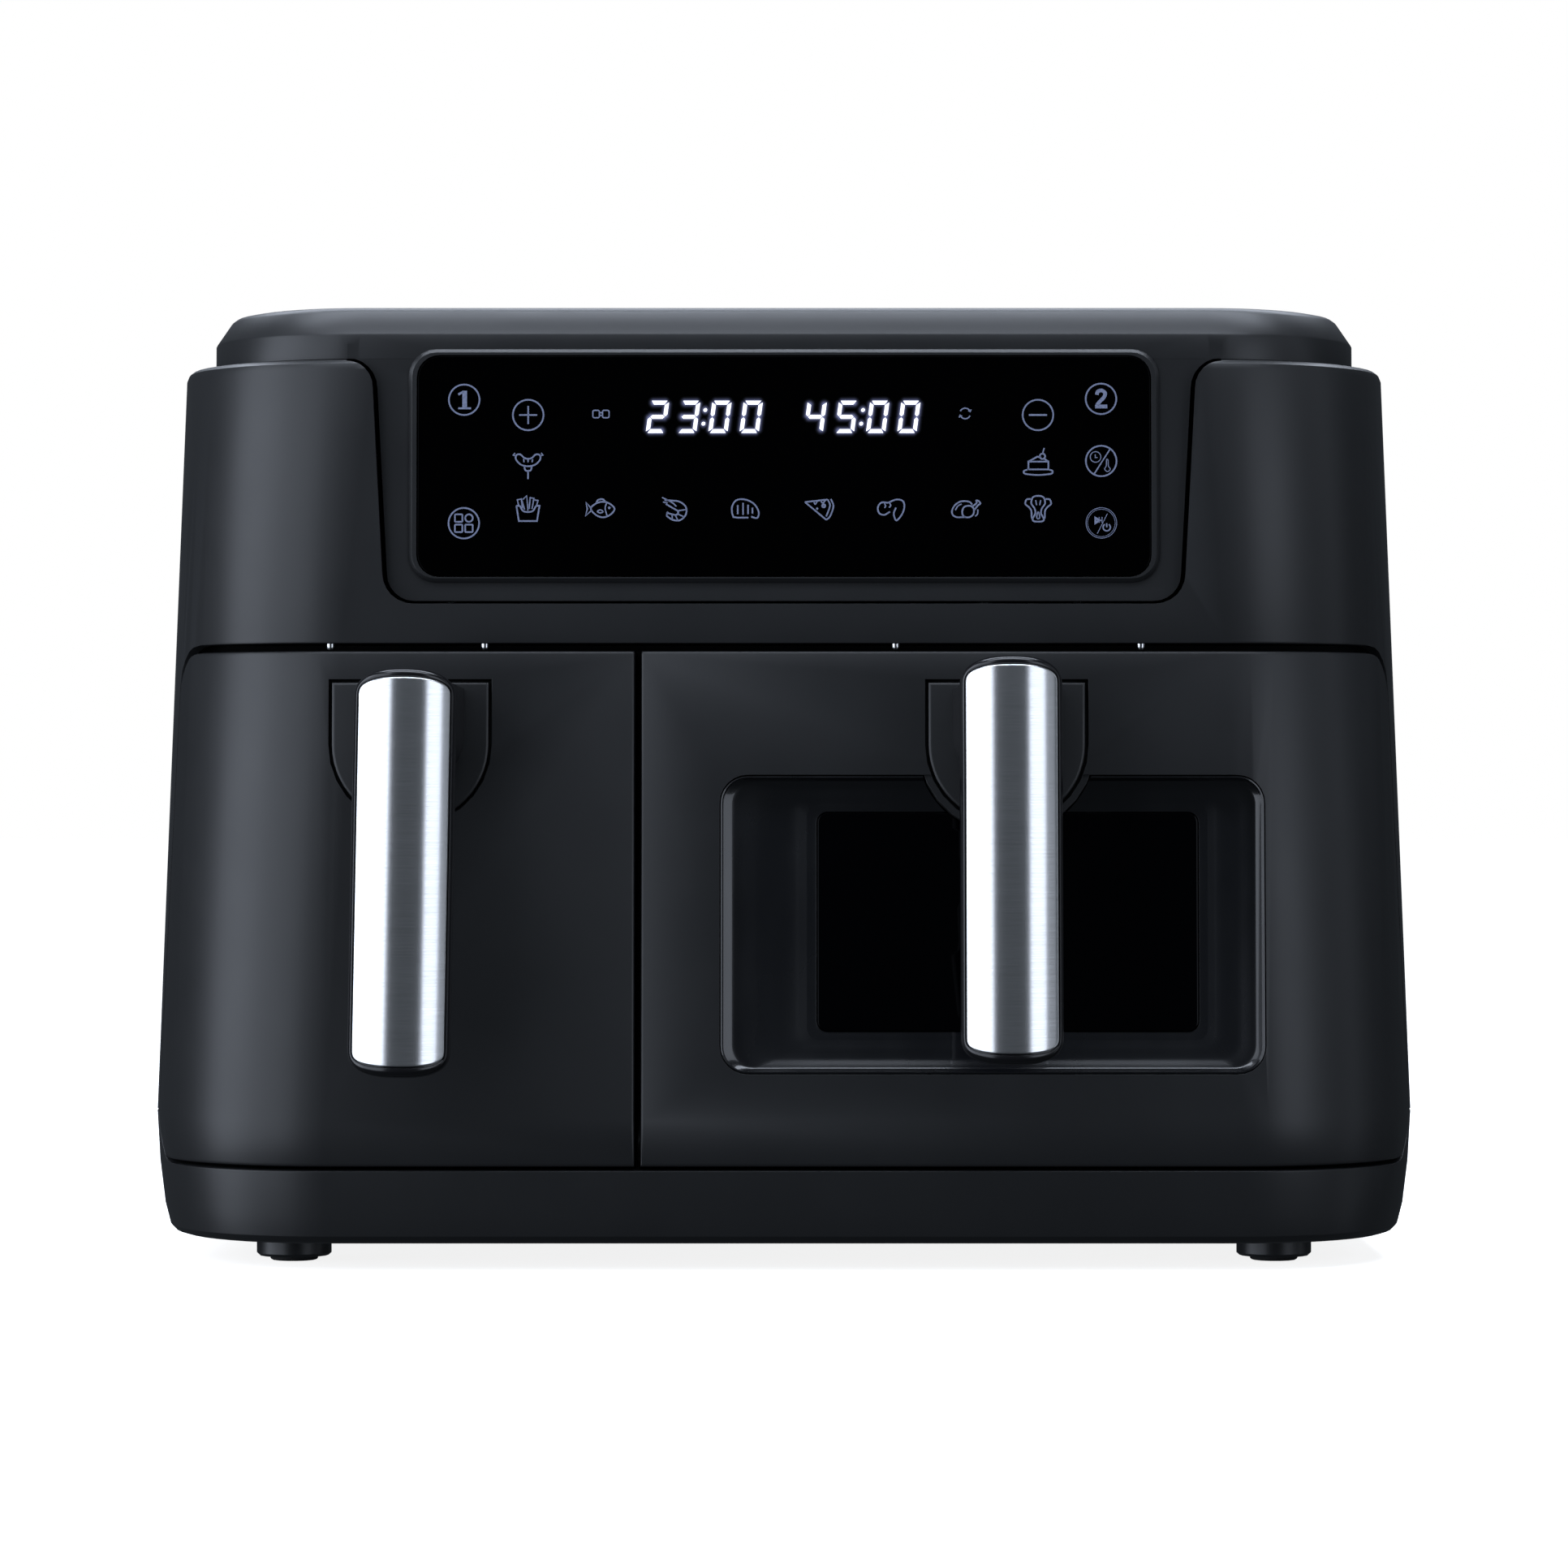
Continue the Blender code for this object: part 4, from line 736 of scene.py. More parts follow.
def icons(thin):
    """The generic symbols by name, each a list of strokes about its own middle."""
    fine = thin * 0.8
    return {
        "one": [
            hoop(thin, 0, 0, KEY_RING), stroke(1.5, 0.15, -2.5, 0.15, 2.9),
            stroke(0.6, -1.9, -2.75, 2.2, -2.75), stroke(0.7, -1.9, 1.7, -0.3, 2.55),
        ],
        "two": [
            hoop(thin, 0, 0, KEY_RING),
            sweep(1.15, -1.35, 1.3, -1.0, 2.35, 0.2, 2.7, 1.3, 1.9, 1.0, 0.6, -0.3, -0.8, -1.3, -2.0),
            stroke(1.2, -1.9, -2.45, 2.0, -2.45),
        ],
        "plus": [hoop(thin, 0, 0, KEY_RING), stroke(thin, -2.9, 0, 2.9, 0), stroke(thin, 0, -2.9, 0, 2.9)],
        "minus": [hoop(thin, 0, 0, KEY_RING), stroke(thin * 1.2, -2.9, 0, 2.9, 0)],
        "menu": [
            hoop(thin, 0, 0, KEY_RING), hoop(thin, 1.65, 1.65, 1.2, 24),
            *[
                tile(thin, x - 1.2, x + 1.2, z - 1.2, z + 1.2, 0.3, 3)
                for x, z in ((-1.65, 1.65), (-1.65, -1.65), (1.65, -1.65))
            ],
        ],
        "fries": [
            stroke(thin, -3.7, 1.0, -2.9, -3.9, 2.9, -3.9, 3.7, 1.0, 2.6, 1.0),
            stroke(thin, -3.7, 1.0, -2.6, 1.0),
            sweep(thin, -2.6, 1.0, -1.6, -0.6, 0, -1.0, 1.6, -0.6, 2.6, 1.0),
            stroke(fine, -3.0, 1.2, -3.4, 2.9, -2.1, 3.2, -1.8, 0.2),
            stroke(fine, -1.7, 3.0, -0.4, 4.2, 0.0, -0.6), stroke(fine, -1.9, 2.6, -1.1, -0.2),
            stroke(fine, 0.4, 0.0, 0.7, 3.6, 1.9, 3.4, 1.3, 0.0),
            stroke(fine, 1.9, 2.9, 3.2, 2.7, 2.8, 1.2),
        ],
        "fish": [
            blob(
                thin, -3.0, 0.1, -1.4, 1.7, 0.8, 2.3, 3.0, 1.7, 4.6, 0.0, 3.2, -1.9, 0.9, -2.7, -1.4, -1.9
            ),
            stroke(thin, -2.9, 0.2, -4.6, 2.2, -4.1, 0.0, -4.7, -2.3, -2.7, -0.4),
            sweep(thin, -1.3, 1.9, -0.6, 2.9, 0.8, 3.1, 1.6, 2.4),
            sweep(fine, 2.1, 2.0, 1.6, 0.2, 2.2, -2.2), hoop(0.4, 2.9, 0.35, 0.22, 12),
            blob(fine, -0.9, -0.8, 0.1, -0.3, 0.9, -0.9, 0.0, -1.3),
        ],
        "shrimp": [
            sweep(
                thin, -3.2, 2.8, -1.2, 2.7, 1.6, 2.3, 3.6, 0.6, 3.6, -1.8, 1.8, -3.6, -0.6, -3.5, -2.6, -2.2
            ),
            sweep(thin, -2.8, 1.6, -0.8, 0.4, 1.1, -0.8, 0.6, -1.9, -0.9, -1.7, -2.6, -1.2),
            stroke(fine, -2.6, -2.2, -2.2, -0.9), stroke(fine, 1.1, -0.6, 3.7, -0.2),
            stroke(fine, 0.9, -1.6, 3.2, -2.6), stroke(fine, 0.2, -1.9, 1.0, -3.6),
            stroke(fine, -0.8, -1.8, -0.7, -3.5), sweep(fine, -4.0, 3.7, -2.6, 3.0, -0.6, 1.9, 0.6, 0.8),
            stroke(fine, -3.7, 2.2, -2.2, 1.9),
        ],
        "steak": [
            sweep(
                thin, -4.2, -1.4, -4.2, 0.8, -2.8, 2.8, 0.0, 3.0, 2.8, 1.6, 4.3, -1.0, 3.8, -2.9, 1.9, -2.5
            ),
            stroke(thin, -4.2, -1.4, -3.8, -2.6, -2.6, -2.8, 1.0, -2.8),
            stroke(thin, -2.4, -1.7, -2.4, 1.2), stroke(thin, -0.7, -1.9, -0.7, 1.9),
            stroke(thin, 0.9, -1.7, 0.9, 1.3), stroke(thin, 2.3, -1.5, 2.3, 0.4),
        ],
        "pizza": [
            stroke(thin, -4.6, 2.2, 2.7, 3.0), sweep(thin, 2.7, 3.0, 3.4, 1.0, 2.2, -2.4),
            sweep(thin, 3.7, 3.2, 4.5, 0.8, 3.4, -2.4, 2.2, -3.5), stroke(thin, -4.6, 2.2, 2.2, -3.5),
            hoop(0.6, 1.4, 1.0, 0.45, 16), hoop(0.35, -0.7, 0.1, 0.2, 10),
            sweep(fine, -1.8, 2.4, -1.3, 1.5, -0.6, 2.6), sweep(fine, 0.4, 2.7, 1.1, 1.9, 2.0, 2.8),
        ],
        "wing": [
            sweep(thin, -1.0, 2.0, 1.6, 3.0, 3.6, 2.6, 4.2, 1.0, 3.6, -1.4, 1.7, -3.7, 0.8, -1.6, 1.5, 0.4),
            sweep(thin, -1.0, 2.0, -3.2, 2.0, -4.3, 0.4, -3.8, -1.4, -2.2, -1.9, -0.4, -0.9),
            sweep(fine, -2.2, 1.9, -1.8, 0.9, -2.2, 0.3), sweep(fine, -0.6, 2.1, -0.2, 1.1, -0.7, 0.4),
        ],
        "chicken": [
            sweep(thin, 0.0, -2.6, -3.2, -2.6, -4.5, -1.2, -3.7, 1.0, -1.6, 2.4, 1.0, 2.3, 2.0, 1.4),
            blob(thin, -1.2, -1.0, -0.6, 0.6, 1.2, 1.0, 2.4, 0.2, 2.4, -1.6, 1.0, -2.7, -0.7, -2.4),
            sweep(thin, 2.2, 0.9, 3.4, 1.9, 3.3, 2.7, 4.1, 2.5, 4.6, 1.7, 3.9, 1.2, 2.7, -0.3),
            sweep(fine, 3.8, -0.2, 3.7, -1.6, 2.9, -2.4), sweep(fine, -3.4, -0.4, -2.6, 0.9, -1.4, 1.6),
        ],
        "greens": [
            blob(
                thin, -2.2, 1.8, -1.7, 3.7, 0, 4.2, 1.7, 3.7, 2.2, 1.8, 1.2, 0.2, 0.9, -1.4, 1.8, -3.2, 1.2,
                -4.0, -1.2, -4.0, -1.8, -3.2, -0.9, -1.4, -1.2, 0.2
            ),
            sweep(thin, -2.4, 3.2, -3.7, 3.0, -4.1, 1.6, -3.0, 0.6, -2.2, -0.6, -2.1, -2.6, -1.8, -3.3),
            sweep(thin, 2.4, 3.2, 3.7, 3.0, 4.1, 1.6, 3.0, 0.6, 2.2, -0.6, 2.1, -2.6, 1.8, -3.3),
            stroke(fine, -0.5, 1.2, -0.8, 2.8), stroke(fine, 0.5, 1.2, 0.8, 2.8),
            blob(fine, 0, -1.0, 0.5, -2.6, 0, -3.2, -0.5, -2.6),
        ],
        "sausage": [
            blob(
                thin, -3.7, 3.2, -3.9, 1.9, -2.4, 0.2, 0.0, -0.4, 2.4, 0.2, 3.9, 1.9, 3.7, 3.2, 2.5, 3.4,
                1.2, 2.3, 0, 2.0, -1.2, 2.3, -2.5, 3.4
            ),
            stroke(fine, -3.9, 2.9, -4.7, 3.2, -4.2, 3.9), stroke(fine, 3.9, 2.9, 4.7, 3.2, 4.2, 3.9),
            sweep(thin, -1.2, -0.4, -0.9, -1.6, 0, -1.9, 0.9, -1.6, 1.2, -0.4),
            stroke(thin, 0, -1.9, 0, -4.5),
            *[stroke(fine, x, 0.9, x * 1.1, 1.9) for x in (-1.3, 0.0, 1.3)],
        ],
        "cake": [
            stroke(thin, -3.1, -2.2, -3.1, 0.3, 3.3, 0.3, 3.3, -2.2, -3.1, -2.2),
            stroke(thin, -3.1, 0.3, -0.2, 1.9, 1.0, 1.6), stroke(thin, 1.9, 1.3, 3.3, 0.3),
            hoop(thin, 1.4, 2.0, 0.85, 20), sweep(fine, 1.5, 2.9, 1.7, 3.8, 2.0, 4.7),
            sweep(thin, -3.4, -2.3, -4.5, -2.7, -4.1, -3.6, 0, -4.0, 4.1, -3.6, 4.6, -2.7, 3.6, -2.3),
        ],
        "timer": [
            hoop(thin, 0, 0, KEY_RING), stroke(fine, -2.3, -4.2, 2.9, 3.9),
            hoop(fine * 0.7, -1.8, 1.3, 1.7, 28), stroke(fine * 0.7, -1.9, 2.1, -1.9, 1.1, -1.2, 1.1),
            blob(
                fine * 0.7, 1.7, 0.2, 1.9, 0.6, 2.2, 0.2, 2.3, -1.6, 2.9, -2.6, 2.0, -3.4, 1.1, -2.6, 1.6,
                -1.6
            ),
        ],
        "power": [
            hoop(fine * 0.5, 0, 0, KEY_RING), hoop(fine * 0.35, 0, 0, 4.4),
            stroke(fine * 0.6, -1.3, -3.4, 1.9, 2.9), wedge(0.8, -1.9, 1.6, -1.9, 0.0, -0.6, 0.8),
            stroke(fine * 0.7, -0.7, 1.9, -0.7, 0.1), stroke(fine * 0.7, 0.2, 1.9, 0.2, 0.1),
            bow(thin * 0.9, 1.7, -1.4, 1.15, 1.15, 125, 415, 24), stroke(thin * 0.9, 1.7, -0.1, 1.7, -1.4),
        ],
        "link": [
            tile(fine, -2.6, -0.5, -1.2, 1.2, 0.5, 3), tile(fine, 0.5, 2.6, -1.2, 1.2, 0.5, 3),
            stroke(fine, -0.5, 0.45, 0.5, 0.45), stroke(fine, -0.5, -0.45, 0.5, -0.45),
        ],
        "cycle": [
            bow(fine, 0, 0, 1.7, 1.7, 25, 155, 14), bow(fine, 0, 0, 1.7, 1.7, 205, 335, 14),
            stroke(fine, 1.0, 0.9, 1.6, 0.6, 1.9, 1.3), stroke(fine, -1.0, -0.9, -1.6, -0.6, -1.9, -1.3),
        ],
    }


ICON_PLACES = {
    "one": (-102.4, 278.6),
    "menu": (-102.4, 238.9),
    "two": (101.5, 278.9),
    "timer": (101.5, 258.9),
    "power": (101.5, 239.0),
    "plus": (-81.9, 273.7),
    "sausage": (-81.9, 257.6),
    "fries": (-81.9, 243.5),
    "minus": (81.3, 273.7),
    "cake": (81.3, 258.4),
    "link": (-58.6, 274.0),
    "cycle": (58.0, 274.2),
    "fish": (-58.8, 243.5),
    "shrimp": (-35.0, 243.5),
    "steak": (-12.4, 243.5),
    "pizza": (11.3, 243.5),
    "wing": (34.3, 243.5),
    "chicken": (58.2, 243.5),
    "greens": (81.3, 243.5),
}
# A lit segment's two ends, and whether each is at a corner of the digit. The outer edge lies to its left.
SEGMENTS = {
    "a": ((-1, 2), (1, 2), True, True),
    "b": ((1, 2), (1, 0), True, False),
    "c": ((1, 0), (1, -2), False, True),
    "d": ((1, -2), (-1, -2), True, True),
    "e": ((-1, -2), (-1, 0), True, False),
    "f": ((-1, 0), (-1, 2), False, True),
    "g": ((-1, 0), (1, 0), False, False),
}
DIGITS = {"0": "abcdef", "2": "abged", "3": "abgcd", "4": "fgbc", "5": "afgcd"}
CLOCKS = ((-25.5, "2300"), (25.0, "4500"))
CLOCK_HEIGHT = 273.1
DIGIT_PITCH = 10.0
SLANT = 0.135
SEGMENT_SIZE = (0.231, 0.2155)
SEGMENT_HALF = 0.62
SEGMENT_GAP = 0.17
DOT_RADIUS = 0.6
DOT_RISE = 0.2075
# How far ink, digits and haze stand out of the glass, and how deep the ink and the digits reach into it.
INK_PROUD = 0.04
DIGIT_PROUD = 0.06
HAZE_PROUD = 0.02
SUNK = 0.05
HAZE_REACH = 1.6


def segment_outline(key, size):
    """A segment's six corners: pointed ends a gap short of the joint, the outer edge longer at a corner."""
    start, end, *corners = SEGMENTS[key]
    start, end = np.array(start) * size, np.array(end) * size
    along = (end - start) / np.linalg.norm(end - start)
    out = np.array((-along[1], along[0])) * SEGMENT_HALF
    inner = (SEGMENT_GAP + SEGMENT_HALF) * along
    outer = [(SEGMENT_GAP - 0.35 * SEGMENT_HALF) * along if corner else inner for corner in corners]
    tip = [(SEGMENT_GAP + 0.33 * SEGMENT_HALF * corner) * along for corner in corners]
    near = (start + out + outer[0], start + tip[0], start - out + inner)
    return np.array((*near, end - out - inner, end - tip[1], end + out - outer[1]))


def clock_shapes(height):
    """Both clocks' lit segments and dots as outlines, and the middle line of each, all leaned over."""
    size = np.array(SEGMENT_SIZE) * height
    segments, dots = [], []
    for middle, text in CLOCKS:
        for index, digit in enumerate(text):
            place = (middle + DIGIT_PITCH * (index - 1.5), 0.0)
            segments += [segment_outline(key, size) + place for key in DIGITS[digit]]
        dots += [circle(middle, rise * height, DOT_RADIUS, 16) for rise in (-DOT_RISE, DOT_RISE)]
    segments, dots = np.array(segments), np.array(dots)
    lines = np.concatenate([segments[:, (1, 4)], dots[:, (8, 0)] * 0.05 + dots.mean(1, keepdims=True) * 0.95])
    for shapes in (segments, dots, lines):
        shapes[..., 0] += SLANT * shapes[..., 1]
        shapes[..., 1] += CLOCK_HEIGHT
    return segments, dots, lines


def plates(name, outlines, near, far):
    """Flat plates on the front panel from outlines of equal count: a front, a back, and a side to each edge."""
    count, around = outlines.shape[:2]
    skins = np.stack([upright(outlines, depth) for depth in (near, far)], 1)
    faces = []
    for start in range(0, 2 * around * count, 2 * around):
        faces += grid_faces(2, around, False, start)
        faces += [list(range(start, start + around)), list(range(start + around, start + 2 * around))]
    return build(name, laid(PANEL, skins.reshape(-1, 3)), faces)


HAZE_SHARES = np.array((0.0, 0.12, 0.25, 0.4, 0.6, 0.8, 1.0))


def haze(name, lines, reach, depth, around=24):
    """Flat haze round lit bars: capsules about each middle line that widen by a share of the reach.

    Brightness is 1 less the share, cubed, and is kept as the piece's attribute.
    """
    start, end = lines[:, 0], lines[:, 1]
    along = (end - start) / np.linalg.norm(end - start, axis=1, keepdims=True)
    across = np.stack([-along[:, 1], along[:, 0]], -1)
    inset = np.minimum(0.3, np.linalg.norm(end - start, axis=1) / 3.0)[:, None] * along
    turn = np.linspace(0.0, math.tau, around, endpoint=False)
    centres = np.stack([start + inset, end - inset], 1)[:, np.where(np.cos(turn) > 0.0, 1, 0)]
    spread = np.cos(turn)[:, None] * along[:, None] + np.sin(turn)[:, None] * across[:, None]
    grown = centres[:, None] + spread[:, None] * (0.45 + reach * HAZE_SHARES)[:, None, None]
    points = upright(grown, (depth + 0.002 * HAZE_SHARES)[:, None]).reshape(-1, 3)
    faces = []
    for first in range(0, len(points), around * len(HAZE_SHARES)):
        faces += grid_faces(len(HAZE_SHARES), around, False, first) + [list(range(first, first + around))]
    near = np.broadcast_to(((1.0 - HAZE_SHARES) ** 3)[:, None], grown.shape[:3]).ravel()
    mesh = bpy.data.meshes.new(name)
    mesh.from_pydata((laid(PANEL, points) * MM).tolist(), [], faces)
    mesh.attributes.new("near", "FLOAT", "POINT").data.foreach_set("value", near.astype(np.float32))
    return linked(name, mesh)


class FRYER_OT_display(bpy.types.Operator):
    """Makes the display: its black glass, printed symbols, lit digits and the haze round them"""

    bl_idname = "fryer.display"
    bl_label = "Display"

    def execute(self, context):
        dressed("touch_glass", "housing", "display_glass", 0.35, segments=3)
        lines = []
        for name, shapes in icons(sizes().line / MM).items():
            lines += [(points + ICON_PLACES[name], closed, width) for points, closed, width in shapes]
        symbols = strokes("display_symbols", lines, GLASS_FACE - INK_PROUD, GLASS_FACE + SUNK)
        placed(shaded(symbols), "housing", "printed_symbol", "display_glass")
        segments, dots, lines = clock_shapes(sizes().digit / MM)
        depths = (GLASS_FACE - DIGIT_PROUD, GLASS_FACE + SUNK)
        parts = [plates("lit", outlines, *depths) for outlines in (segments, dots)]
        placed(shaded(join_meshes("display_digits", parts)), "housing", "lit_digit", "display_glass")
        glow = haze("display_haze", lines, HAZE_REACH, GLASS_FACE - HAZE_PROUD)
        placed(glow, "housing", "digit_halo", "display_glass")
        return {"FINISHED"}


# The drawers' outsides.


class FRYER_OT_drawer_fronts(bpy.types.Operator):
    """Makes the two drawer fronts and the plates behind them"""

    bl_idname = "fryer.drawer_fronts"
    bl_label = "Drawer fronts"

    def execute(self, context):
        for side in SIDES:
            body = side + "_drawer"
            dressed(side + "_drawer_front", body, "housing_plastic", segments=3)
            dressed(side + "_drawer_backplate", body, "black_plastic", 0.3)
        return {"FINISHED"}


END_POWER = 2.6
STRIP_END = 5.0
GRIP_END = 9.3
STRIP_THICK = 0.9
SCREW_HEIGHT = 170.0
# The grip's back, as insets and depths, and its rim, as shares of the way in to the pocket and depths.
GRIP_BACK = ((4.5, 15.0), (2.4, 14.8), (1.0, 13.9), (0.25, 12.4), (0.0, 10.8))
GRIP_RIM = (
    (0.0, 3.4), (0.05, 2.3), (0.18, 1.35), (0.4, 0.78),
    (0.65, 0.55), (0.88, 0.55), (0.97, 0.7), (1.0, 0.95),
)
POCKET_DEPTH = 1.35
# The steel cover's rim, as insets and depths.
STRIP_RIM = ((0.0, STRIP_THICK), (0.0, 0.38), (0.06, 0.16), (0.2, 0.03), (0.4, 0.0))
# The post's half width and depth at the face, and how much they change along it.
POST_HALF, POST_TAPER = 17.4, 3.9
POST_START, POST_LENGTH = -0.3, 33.0
POST_TOP = 185.8
# The shield's edge, as radii and depths, and the screw's outline, as radii and heights.
SHIELD_EDGE = ((24.0, 0.0), (24.6, 0.12), (24.9, 0.4), (25.0, 0.9), (25.0, 5.0))
SCREW_SHANK = ((0.0, -14.5), (1.2, -14.5), (2.0, -13.5), (2.0, 8.3))
SCREW_HEAD = ((4.0, 8.3), (4.0, 9.4), (3.4, 10.4), (2.2, 10.8), (1.4, 9.6), (0.0, 9.4))


def sag(x, radius):
    """How far a handle's arched face lies behind its crest: r less the root of r squared less x squared."""
    return radius - np.sqrt(radius**2 - np.minimum(np.abs(x), radius * 0.98) ** 2)


def bar_outline(half, length, end, cap=28, side=14):
    """The front view of a handle: straight sides, and at each end half a superellipse, x and z to a power."""
    straight = length / 2.0 - end
    turn = np.linspace(0.0, math.pi, cap + 1)
    signs = np.stack([np.sign(np.cos(turn)), np.ones(cap + 1)], -1)
    flat = np.abs(np.stack([np.cos(turn), np.sin(turn)], -1)) ** (2.0 / END_POWER) * signs
    top = flat * (half, end) + (0.0, straight)
    bottom = -top
    down = np.stack([np.full(side - 1, -half), np.linspace(straight, -straight, side + 1)[1:-1]], -1)
    return np.concatenate([top, down, bottom, -down])


def handle_place(name):
    """Where a handle, drawn upright about its own middle, hangs before its drawer."""
    handle = HANDLES[name]
    return (
        Matrix.Translation((handle["x"], HANDLE_OUT, handle["middle"]))
        @ Matrix.Rotation(math.radians(handle["roll"]), 4, "Y")
        @ Matrix.Rotation(math.radians(-HANDLE_LEAN), 4, "X")
    )


def hung(name, levels, backed):
    """A handle's skin through its outlines, hung in its place. Its first outline is closed by a back or left open."""
    rows, around = len(levels), len(levels[0])
    faces = grid_faces(rows, around) + ([list(range(around))] if backed else [])
    return build(name, laid(handle_place(name.split("_")[0]), np.stack(levels)), faces)


def grip(name):
    """A grip as one skin of outlines: from the back round the side to the rim, then into the cover's pocket."""
    size = sizes()
    radius = size.strip_radius / MM
    half, length = size.grip_half / MM, size.grip_length / MM
    strip_half, strip_length = size.strip_half / MM + 0.3, size.strip_length / MM + 0.6
    outer = bar_outline(half, length, GRIP_END)
    pocket = bar_outline(strip_half, strip_length, STRIP_END + 0.3)

    levels = []
    for inset, depth in GRIP_BACK:
        levels.append(upright(bar_outline(half - inset, length - 2.0 * inset, GRIP_END - inset), depth))
    for share, depth in GRIP_RIM:
        outline = outer + (pocket - outer) * share
        levels.append(upright(outline, depth + sag(outline[:, 0], radius)))
    for share in (1.0, 0.66, 0.33, 0.0):
        outline = pocket * (share, 1.0 if share == 1.0 else 0.98)
        levels.append(upright(outline, POCKET_DEPTH + sag(outline[:, 0], radius)))
    return shaded(hung(name, levels, True), angle=50.0)


def steel_cover(name):
    """The steel cover: an arched sheet, its rim turned back, with brushing coordinates up the handle."""
    size = sizes()
    radius = size.strip_radius / MM
    half, length = size.strip_half / MM, size.strip_length / MM
    outline = bar_outline(half, length, STRIP_END, 24, 18)
    levels = []
    for inset, depth in STRIP_RIM:
        drawn = outline * ((half - inset) / half, (length / 2.0 - inset) / (length / 2.0))
        levels.append(upright(drawn, sag(drawn[:, 0], radius) + depth))
    for share in np.linspace(1.0, 0.0, 15)[1:]:
        inner = drawn * (share, 1.0)
        levels.append(upright(inner, sag(inner[:, 0], radius)))
    back = levels[0] * (0.0, 1.0, 1.0)
    back[:, 1] = STRIP_THICK
    made = hung(name, [back] + levels, False)
    mesh = made.data
    at = column(mesh.vertices, "co", 3)[column(mesh.loops, "vertex_index", 1, np.int32).ravel()]
    mesh.uv_layers.new(name="brushing").data.foreach_set("uv", at[:, (2, 0)].ravel())
    return shaded(made, angle=40.0)


def u_outline(middle, radius, steps=28):
    """The shield's outline: square on top and round below, grown or shrunk about one bend line."""
    top = SHIELD_TOP + radius - SHIELD_RADIUS
    round_part = arc(middle, SHIELD_BEND, radius, radius, 180, 360, steps)
    return np.concatenate([round_part, [(middle + radius, top), (middle - radius, top)]])


def post_outline(middle, half):
    """The section of a handle's post: flat on top, round below."""
    round_part = arc(middle, SHIELD_BEND + 3.0, half, half * 0.98, 180, 360, 24)
    return np.concatenate([round_part, [(middle + half, POST_TOP), (middle - half, POST_TOP)]])


def panel_rings(name, outlines):
    """Outlines on the front panel, each with its depth, joined into one closed skin."""
    return rings(name, laid(PANEL, np.stack([upright(outline, depth) for outline, depth in outlines])))


class FRYER_OT_handles(bpy.types.Operator):
    """Makes both handles: plastic grip, post, brushed steel cover, shield and screw"""

    bl_idname = "fryer.handles"
    bl_label = "Handles"

    def execute(self, context):
        for side, handle in HANDLES.items():
            body = side + "_drawer"
            x = handle["x"]
            placed(grip(side + "_grip"), body, "grip_plastic", "black_plastic", side + "_handle")
            levels = []
            for share in (0.0, 0.3, 0.6, 0.85, 1.0):
                outline = post_outline(x, POST_HALF - POST_TAPER * share)
                levels.append((outline, POST_START - POST_LENGTH * share))
            post = shaded(panel_rings(side + "_grip_post", levels), 0.6 * MM, 40.0, 3)
            placed(post, body, "grip_plastic", "black_plastic", side + "_handle")
            cover = steel_cover(side + "_steel_cover")
            placed(cover, body, "brushed_steel", "brushed_steel", side + "_handle_cover")
            edge = [(u_outline(x, radius), depth) for radius, depth in SHIELD_EDGE]
            shield = shaded(panel_rings(side + "_shield", edge), angle=35.0)
            placed(shield, body, "housing_plastic", "housing_plastic", side + "_handle_shield")
            facing = Matrix.Rotation(math.radians(-90), 4, "X")
            place = PANEL @ Matrix.Translation((x, 0.0, SCREW_HEIGHT)) @ facing
            screw = shaded(turned(side + "_grip_screw", SCREW_SHANK + SCREW_HEAD, place, 24))
            placed(screw, body, "bright_steel", "bright_steel", side + "_handle_screw")
        return {"FINISHED"}


# The window.


def front_curve(x, z):
    """How far the drawer's face has curved back at a place across the front: the corner's quarter ellipse."""
    reach = HALF_WIDTH - SIDE_LEAN * np.maximum(0.0, z - LEAN_START)
    share = np.clip(np.abs(x) - reach + CORNER_X, 0.0, CORNER_X) / CORNER_X
    return CORNER_Y * (1.0 - np.sqrt(1.0 - share**2))


def window_ring(bounds, depth, grow=0.0):
    """A rounded rectangle on the front: four quarter arcs and four runs, pushed back by the face's curve."""
    left, right, low, high, radius = bounds
    corner = max(radius + grow, 0.8)
    arcs = rounded(left - grow, right + grow, low - grow, high + grow, corner, 10).reshape(4, -1, 2)
    step = np.linspace(0.0, 1.0, 11)[1:-1, None]
    runs = arcs[:, -1:] + (np.roll(arcs[:, :1], -1, 0) - arcs[:, -1:]) * step
    plan = np.concatenate([arcs, runs], 1).reshape(-1, 2)
    return upright(plan, depth + front_curve(plan[:, 0], plan[:, 1]))


# The dish's fall from the rim to the floor: shares of the way in, and shares of the depth.
DISH_WAY = (0.0, 0.015, 0.05, 0.1, 0.13, 0.17, 0.22, 0.28, 0.34, 0.42, 0.48, 0.56, 0.75, 1.0)
DISH_FALL = (0.067, 0.576, 0.631, 0.704, 0.74, 0.765, 0.785, 0.816, 0.847, 0.891, 0.92, 0.945, 0.976, 1.0)
DISH_INSET = -0.8
